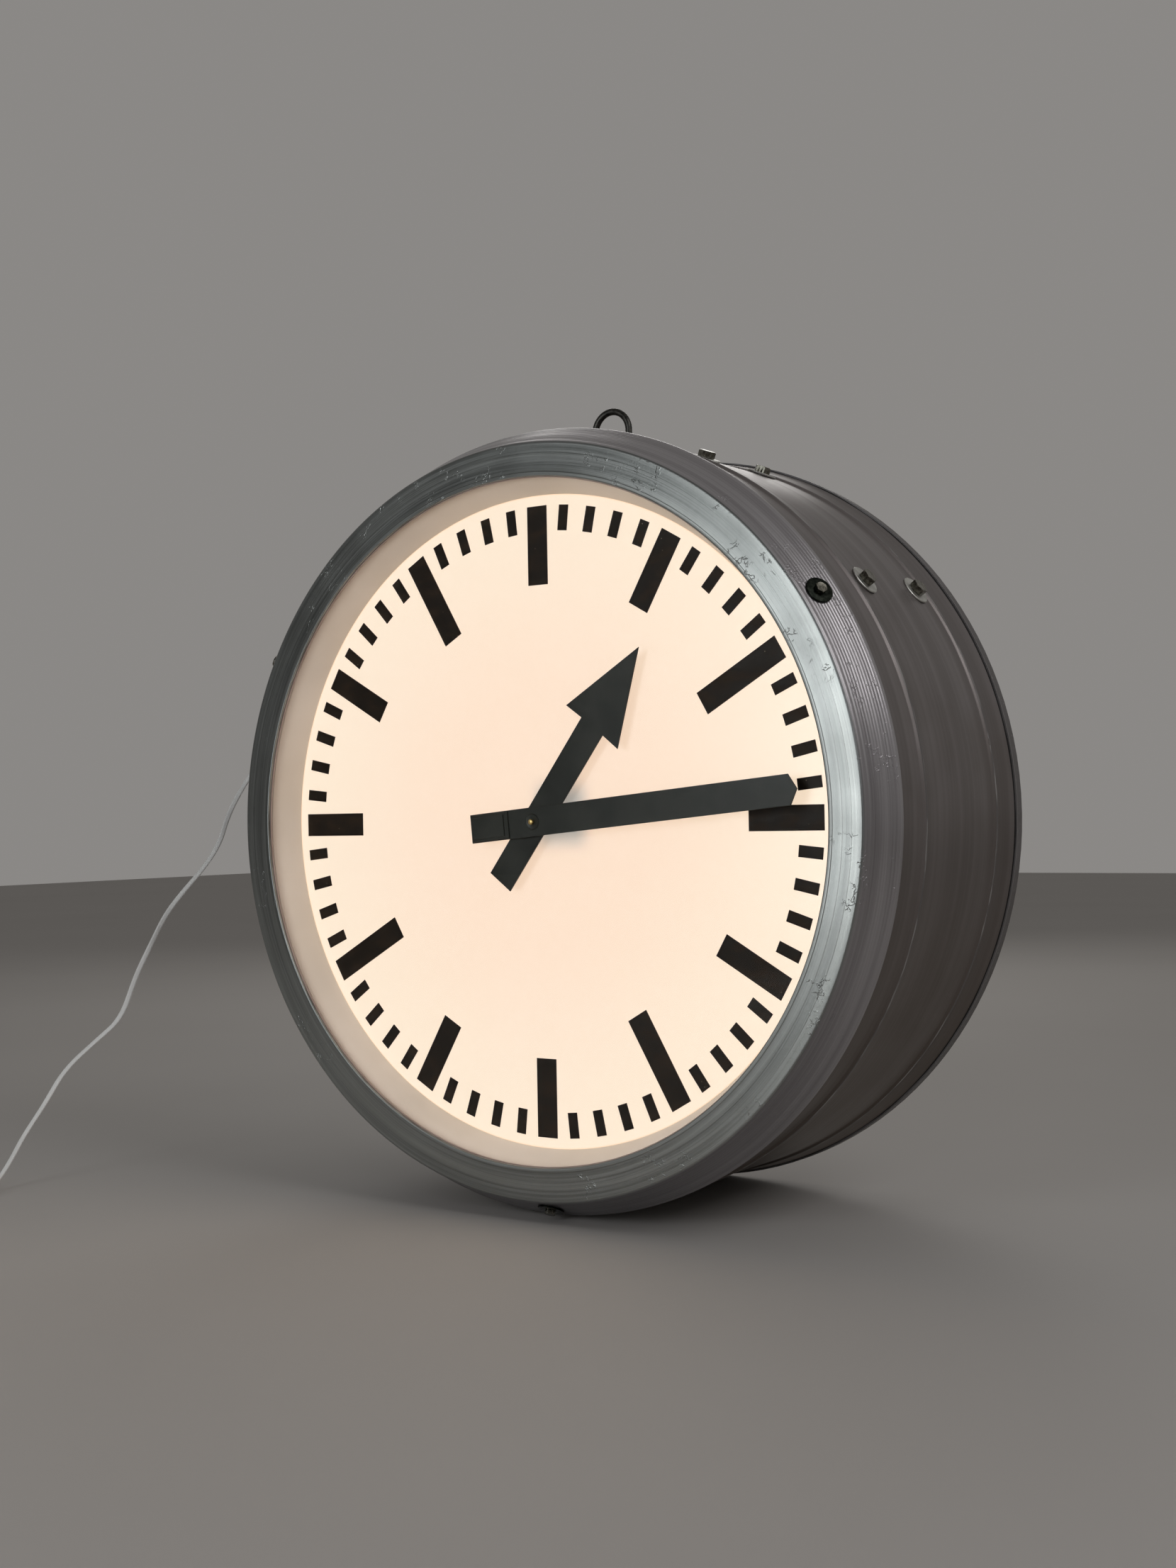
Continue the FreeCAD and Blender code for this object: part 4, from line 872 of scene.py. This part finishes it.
def bead_rise(y):
    """How far the rolled beads lift the drum's wall."""
    rise = 0.0
    for centre in BEADS:
        share = abs(y - centre) / BEAD_HALF
        if share < 1.0:
            rise = max(rise, 2.4 * (0.5 + 0.5 * math.cos(math.pi * share)) ** 0.8)
    return rise


def flare(y):
    """How far the wall spreads behind the rear bead, up to the cover's rim."""
    return max(0.0, (y + 40.0) / 26.5) * 5.4


def make_drum():
    outer = DRUM_RADIUS
    sheet = 1.5
    front, back = -241.0, -13.5
    levels = [front + 2.0]
    for centre in BEADS:
        levels += [centre + BEAD_HALF * step / 7 for step in range(-7, 8)]
    levels.append(back - 2.0)
    levels += [levels[0] + (BEADS[0] - BEAD_HALF - levels[0]) * share for share in (0.33, 0.66)]
    between = BEADS[1] - BEADS[0] - 2 * BEAD_HALF
    levels += [BEADS[0] + BEAD_HALF + between * share for share in (0.12, 0.3, 0.5, 0.7, 0.88)]
    levels.sort()
    outline = [(296.0, front, 0.4), (outer, front, 1.4)]
    outline += [(outer + bead_rise(y) + flare(y), y, 0.0) for y in levels]
    outline += [(347.6, back, 0.6), (345.0, back, 0.0), (320.0, back, 0.4), (320.0, back - sheet, 0.0),
                (outer - sheet, back - sheet, 0.6)]
    inside = [y for y in reversed(levels) if back - 3.0 > y > front + 3.0]
    outline += [(outer - sheet + bead_rise(y), y, 0.0) for y in inside]
    outline += [(outer - sheet, front + sheet, 0.6), (296.0, front + sheet, 0.0)]

    def wobble(angle, radius, y):
        if radius < 330.0:
            return radius, y
        around = Vector((math.sin(angle) * 3.0, math.cos(angle) * 3.0, y * 0.012))
        shift = 0.22 * noise.noise(around)
        if bead_rise(y) > 0.5:
            shift += 0.16 * noise.noise(around * 5.0)
        return radius + shift, y + (0.5 * noise.noise(around * 2.2) if bead_rise(y) > 0.0 else 0.0)

    mesh = lathe("drum", softened(outline), 360, wobble=wobble)
    drum = add_object("drum", mesh, "drum_paint", crease=50)
    # The polygons on the beads' crests take the crest material, a painted highlight.
    drum.data.materials.append(MATERIALS["crest"])
    crest = outer + 2.05
    behind = (BEADS[1] + 3.0) * MM
    for polygon in drum.data.polygons:
        radius = math.hypot(polygon.center.x, polygon.center.z) / MM
        if radius > crest and polygon.center.y < behind:
            polygon.material_index = 1
    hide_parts("drum_shell")


def make_rear_seal():
    """The black gasket between the drum and its cover, seen as a thin uneven line."""
    def wobble(angle, radius, y):
        around = Vector((math.sin(angle) * 9.0, math.cos(angle) * 9.0, 0.0))
        return radius + (0.5 * noise.noise(around) if radius > 345.0 else 0.0), y

    outline = [(343.0, -13.4, 0.0), (348.0, -13.4, 0.5), (348.0, -12.1, 0.0), (343.0, -12.1, 0.0)]
    mesh = lathe("cover_gasket", softened(outline), 240, wobble=wobble)
    seal = add_object("cover_gasket", mesh, "seal_black")
    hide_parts("rear_seal")


# ---- fasteners ----

DRUM_BOLT_ANGLES = (-54.7, -21.7, 21.7, 54.7)
DRUM_BOLT_PLANES = (164.0, 64.0)
BAND_BOLT_ANGLES = (57.8, 177.8, 297.8)
BAND_BOLT_PLANE = 260.3


def lifted(place, height):
    return place @ Matrix.Translation((0, 0, height * MM))


def make_drum_bolts():
    bolts, washers = Builder(), Builder()
    spots = [(angle, plane) for angle in DRUM_BOLT_ANGLES for plane in DRUM_BOLT_PLANES]
    for index, (angle, plane) in enumerate(spots):
        place = radial(DRUM_RADIUS + 0.25, angle, plane, 3.0 * math.sin(index * 2.1))
        washers.add(*plain_washer(14.0, 4.2, 1.7, place, -0.25))
        bolts.add(*hex_head(13.4, 6.2, lifted(place, 1.6), 3.9, 18.0, 17.0 + 41.0 * index))
    mesh = bolts.mesh("drum_bolt_heads")
    shown = add_object("drum_bolt_heads", mesh, "bolt_zinc", crease=24)
    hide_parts("drum_bolts")
    shown = add_object("drum_bolt_washers", washers.mesh("drum_bolt_washers"), "pale_zinc")
    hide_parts("drum_washers")


def make_cone_bolts():
    bolts, washers = Builder(), Builder()
    for index, angle in enumerate(BAND_BOLT_ANGLES):
        place = radial(cone_radius(-BAND_BOLT_PLANE), angle, BAND_BOLT_PLANE, BAND_TILT)
        washers.add(*plain_washer(11.9, 3.2, 1.2, lifted(place, 0.35), 0.4))
        bolts.add(*hex_head(9.0, 3.6, lifted(place, 1.9), 2.95, 18.0, 11.0 + 20.0 * index))
    mesh = bolts.mesh("cone_bolt_heads")
    shown = add_object("cone_bolt_heads", mesh, "bolt_zinc", crease=24)
    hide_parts("band_bolts")
    mesh = washers.mesh("cone_bolt_washers")
    shown = add_object("cone_bolt_washers", mesh, "black_washer")
    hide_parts("band_washers")


# ---- dial and hands ----

MINUTE_ANGLE = 84.9
HOUR_ANGLE = 30.0 + MINUTE_ANGLE / 12.0


def make_minute_hand():
    width = 25.7 / 2
    tip, tail, shoulder = 264.6, -68.3, 264.6 - 7.2
    builder = Builder()
    builder.add(*slab([(-width, tail), (width, tail), (width, shoulder), (0.0, tip), (-width, shoulder)],
                      -259.5, -258.0, MINUTE_ANGLE))
    hand = add_object("minute_pointer", builder.mesh("minute_pointer"), "hand_black", MINUTE)
    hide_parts("minute_hand")


def make_hour_hand():
    width, head, start = 27.2 / 2, 66.2 / 2, 102.5
    builder = Builder()
    builder.add(*slab([(-width, -67.0), (width, -67.0), (width, start), (head, start - 0.6), (0.0, 184.6),
                       (-head, start - 0.6), (-width, start)], -254.5, -253.0, HOUR_ANGLE))
    hand = add_object("hour_pointer", builder.mesh("hour_pointer"), "hand_black", HOUR)
    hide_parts("hour_hand")


def make_minute_fittings():
    """The counterweight on the minute hand's tail, its hub and the brass pin in the middle."""
    builder = Builder()
    builder.add(*slab([(-11.8, -67.4), (11.8, -67.4), (11.8, -25.6), (-11.8, -25.6)], -260.9, -259.45,
                      MINUTE_ANGLE, 0.35))
    builder.add(*slab([(-9.5, -66.0), (9.5, -66.0), (9.5, -30.0), (-9.5, -30.0)], -262.1, -260.8,
                      MINUTE_ANGLE, 0.3))
    turn = Matrix.Rotation(math.radians(MINUTE_ANGLE), 4, "Y")
    forwards = Matrix.Rotation(math.radians(90), 4, "X")
    for height in (-61.0, -37.0):
        place = turn @ Matrix.Translation(Vector((0, -262.05, height)) * MM) @ forwards
        profile = [(0.0, -0.4), (1.9, -0.3), (1.9, 0.02), (1.6, 0.05), (1.3, -0.15), (0.5, -0.22),
                   (0.0, -0.22)]
        builder.add(*spun(profile, place, 24))
    weight = add_object("counterweight", builder.mesh("counterweight"), "hand_black", MINUTE)
    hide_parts("minute_counterweight")

    place = Matrix.Translation((0, -0.2595, 0)) @ forwards
    profile = [(1.85, 0.0), (7.4, 0.0), (7.4, 0.25), (6.5, 0.95), (6.0, 1.0), (4.4, 0.75), (3.2, 0.35),
               (1.85, 0.3)]
    mesh = mesh_from("minute_boss", *hollow_spun(profile, place, 56))
    boss = add_object("minute_boss", mesh, "hand_black", MINUTE)
    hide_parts("minute_hub")
    profile = [(0.0, 0.1), (2.0, 0.1), (2.5, 1.1), (2.5, 2.4), (2.2, 3.0), (1.4, 3.4), (0.6, 3.5),
               (0.0, 3.5)]
    pin = add_object("arbor_pin", mesh_from("arbor_pin", *spun(profile, place, 40)), "brass", MINUTE)
    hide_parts("hand_nut")


def make_reflector():
    low, high = 289.3, 301.5
    dial, glass = -244.0, -271.5
    profile = [(low, dial, 0.2), (high, glass, 0.9), (308.0, glass, 0.0), (308.0, glass + 1.2, 0.0),
               (high + 1.2, glass + 1.2, 0.0), (low + 1.2, dial - 1.2, 0.0), (306.0, dial - 1.2, 0.0),
               (306.0, dial, 0.0)]
    wall = add_object("light_wall", lathe("light_wall", softened(profile, 3), 288), "reflector_white")
    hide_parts("reflector_ring")


make_bezel()
make_strap()
make_drum()
make_rear_seal()
make_drum_bolts()
make_cone_bolts()
make_minute_hand()
make_hour_hand()
make_minute_fittings()
make_reflector()


# ---- finishes of the CAD nodes that stay ----

def paint_nodes():
    for entry in frame["record"]["subparts"]:
        item = frame["nodes"][entry["node"]]
        item.data.materials.clear()
        item.data.materials.append(MATERIALS[entry["material_slot"]])
    frame["nodes"]["rear_cover"].data.materials[0] = MATERIALS["cover_paint"]
    frame["nodes"]["front_glass"].visible_shadow = False


paint_nodes()


# ---- floor and light ----

def make_floor():
    mesh = bpy.data.meshes.new("floor")
    half = 8.0
    corners = [(-half, -half, 0), (half, -half, 0), (half, half, 0), (-half, half, 0)]
    mesh.from_pydata(corners, [], [(0, 1, 2, 3)])
    finish = Finish("floor", Specular_IOR_Level=0.3)
    tone = finish.noise(0.6, 3.0)
    finish.surface(Base_Color=finish.mix(tone, (0.46, 0.44, 0.42), (0.50, 0.48, 0.46)), Roughness=0.7)
    mesh.materials.append(finish.material)
    floor = bpy.data.objects.new("floor", mesh)
    floor.location = (0, 0, FLOOR)
    bpy.context.scene.collection.objects.link(floor)


def area_light(name, place, target, size, power, colour):
    data = bpy.data.lights.new(name, "AREA")
    data.shape = "RECTANGLE"
    data.size, data.size_y = size
    data.energy = power
    data.color = colour
    light = bpy.data.objects.new(name, data)
    light.location = place
    aim = Vector(target) - Vector(place)
    light.rotation_euler = aim.to_track_quat("-Z", "Y").to_euler()
    bpy.context.scene.collection.objects.link(light)


def make_lights():
    world = bpy.data.worlds.new("studio")
    world.use_nodes = True
    tree = world.node_tree
    split = tree.nodes.new("ShaderNodeSeparateXYZ")
    tree.links.new(tree.nodes.new("ShaderNodeTexCoord").outputs["Generated"], split.inputs[0])
    shade = tree.nodes.new("ShaderNodeMapRange")
    shade.interpolation_type = "SMOOTHSTEP"
    shade.inputs["From Min"].default_value = -0.75
    shade.inputs["From Max"].default_value = 0.35
    shade.inputs["To Min"].default_value = 0.12
    shade.inputs["To Max"].default_value = 0.64
    tree.links.new(split.outputs[1], shade.inputs["Value"])
    background = tree.nodes["Background"]
    background.inputs["Color"].default_value = (0.40, 0.385, 0.37, 1.0)
    tree.links.new(shade.outputs[0], background.inputs["Strength"])
    bpy.context.scene.world = world
    area_light("front", (-0.52, -2.7, 0.40), (0, -0.25, 0), (0.8, 1.4), 14.5, (0.95, 0.985, 1.0))
    area_light("right_above", (2.0, -0.55, 1.55), (0.1, -0.2, 0), (1.3, 1.2), 11.0, (1.0, 0.985, 0.98))
    area_light("window", (1.5, -2.6, 1.0), (0.2, -0.25, 0), (0.5, 1.6), 4.0, (0.93, 0.93, 1.0))
    area_light("behind", (-1.3, 2.2, 1.5), (0, 0, 0), (1.2, 1.2), 9.0, (1.0, 0.98, 0.95))
    bpy.context.scene.view_settings.view_transform = "Standard"


make_floor()
make_lights()


def write_sizes():
    import json


write_sizes()
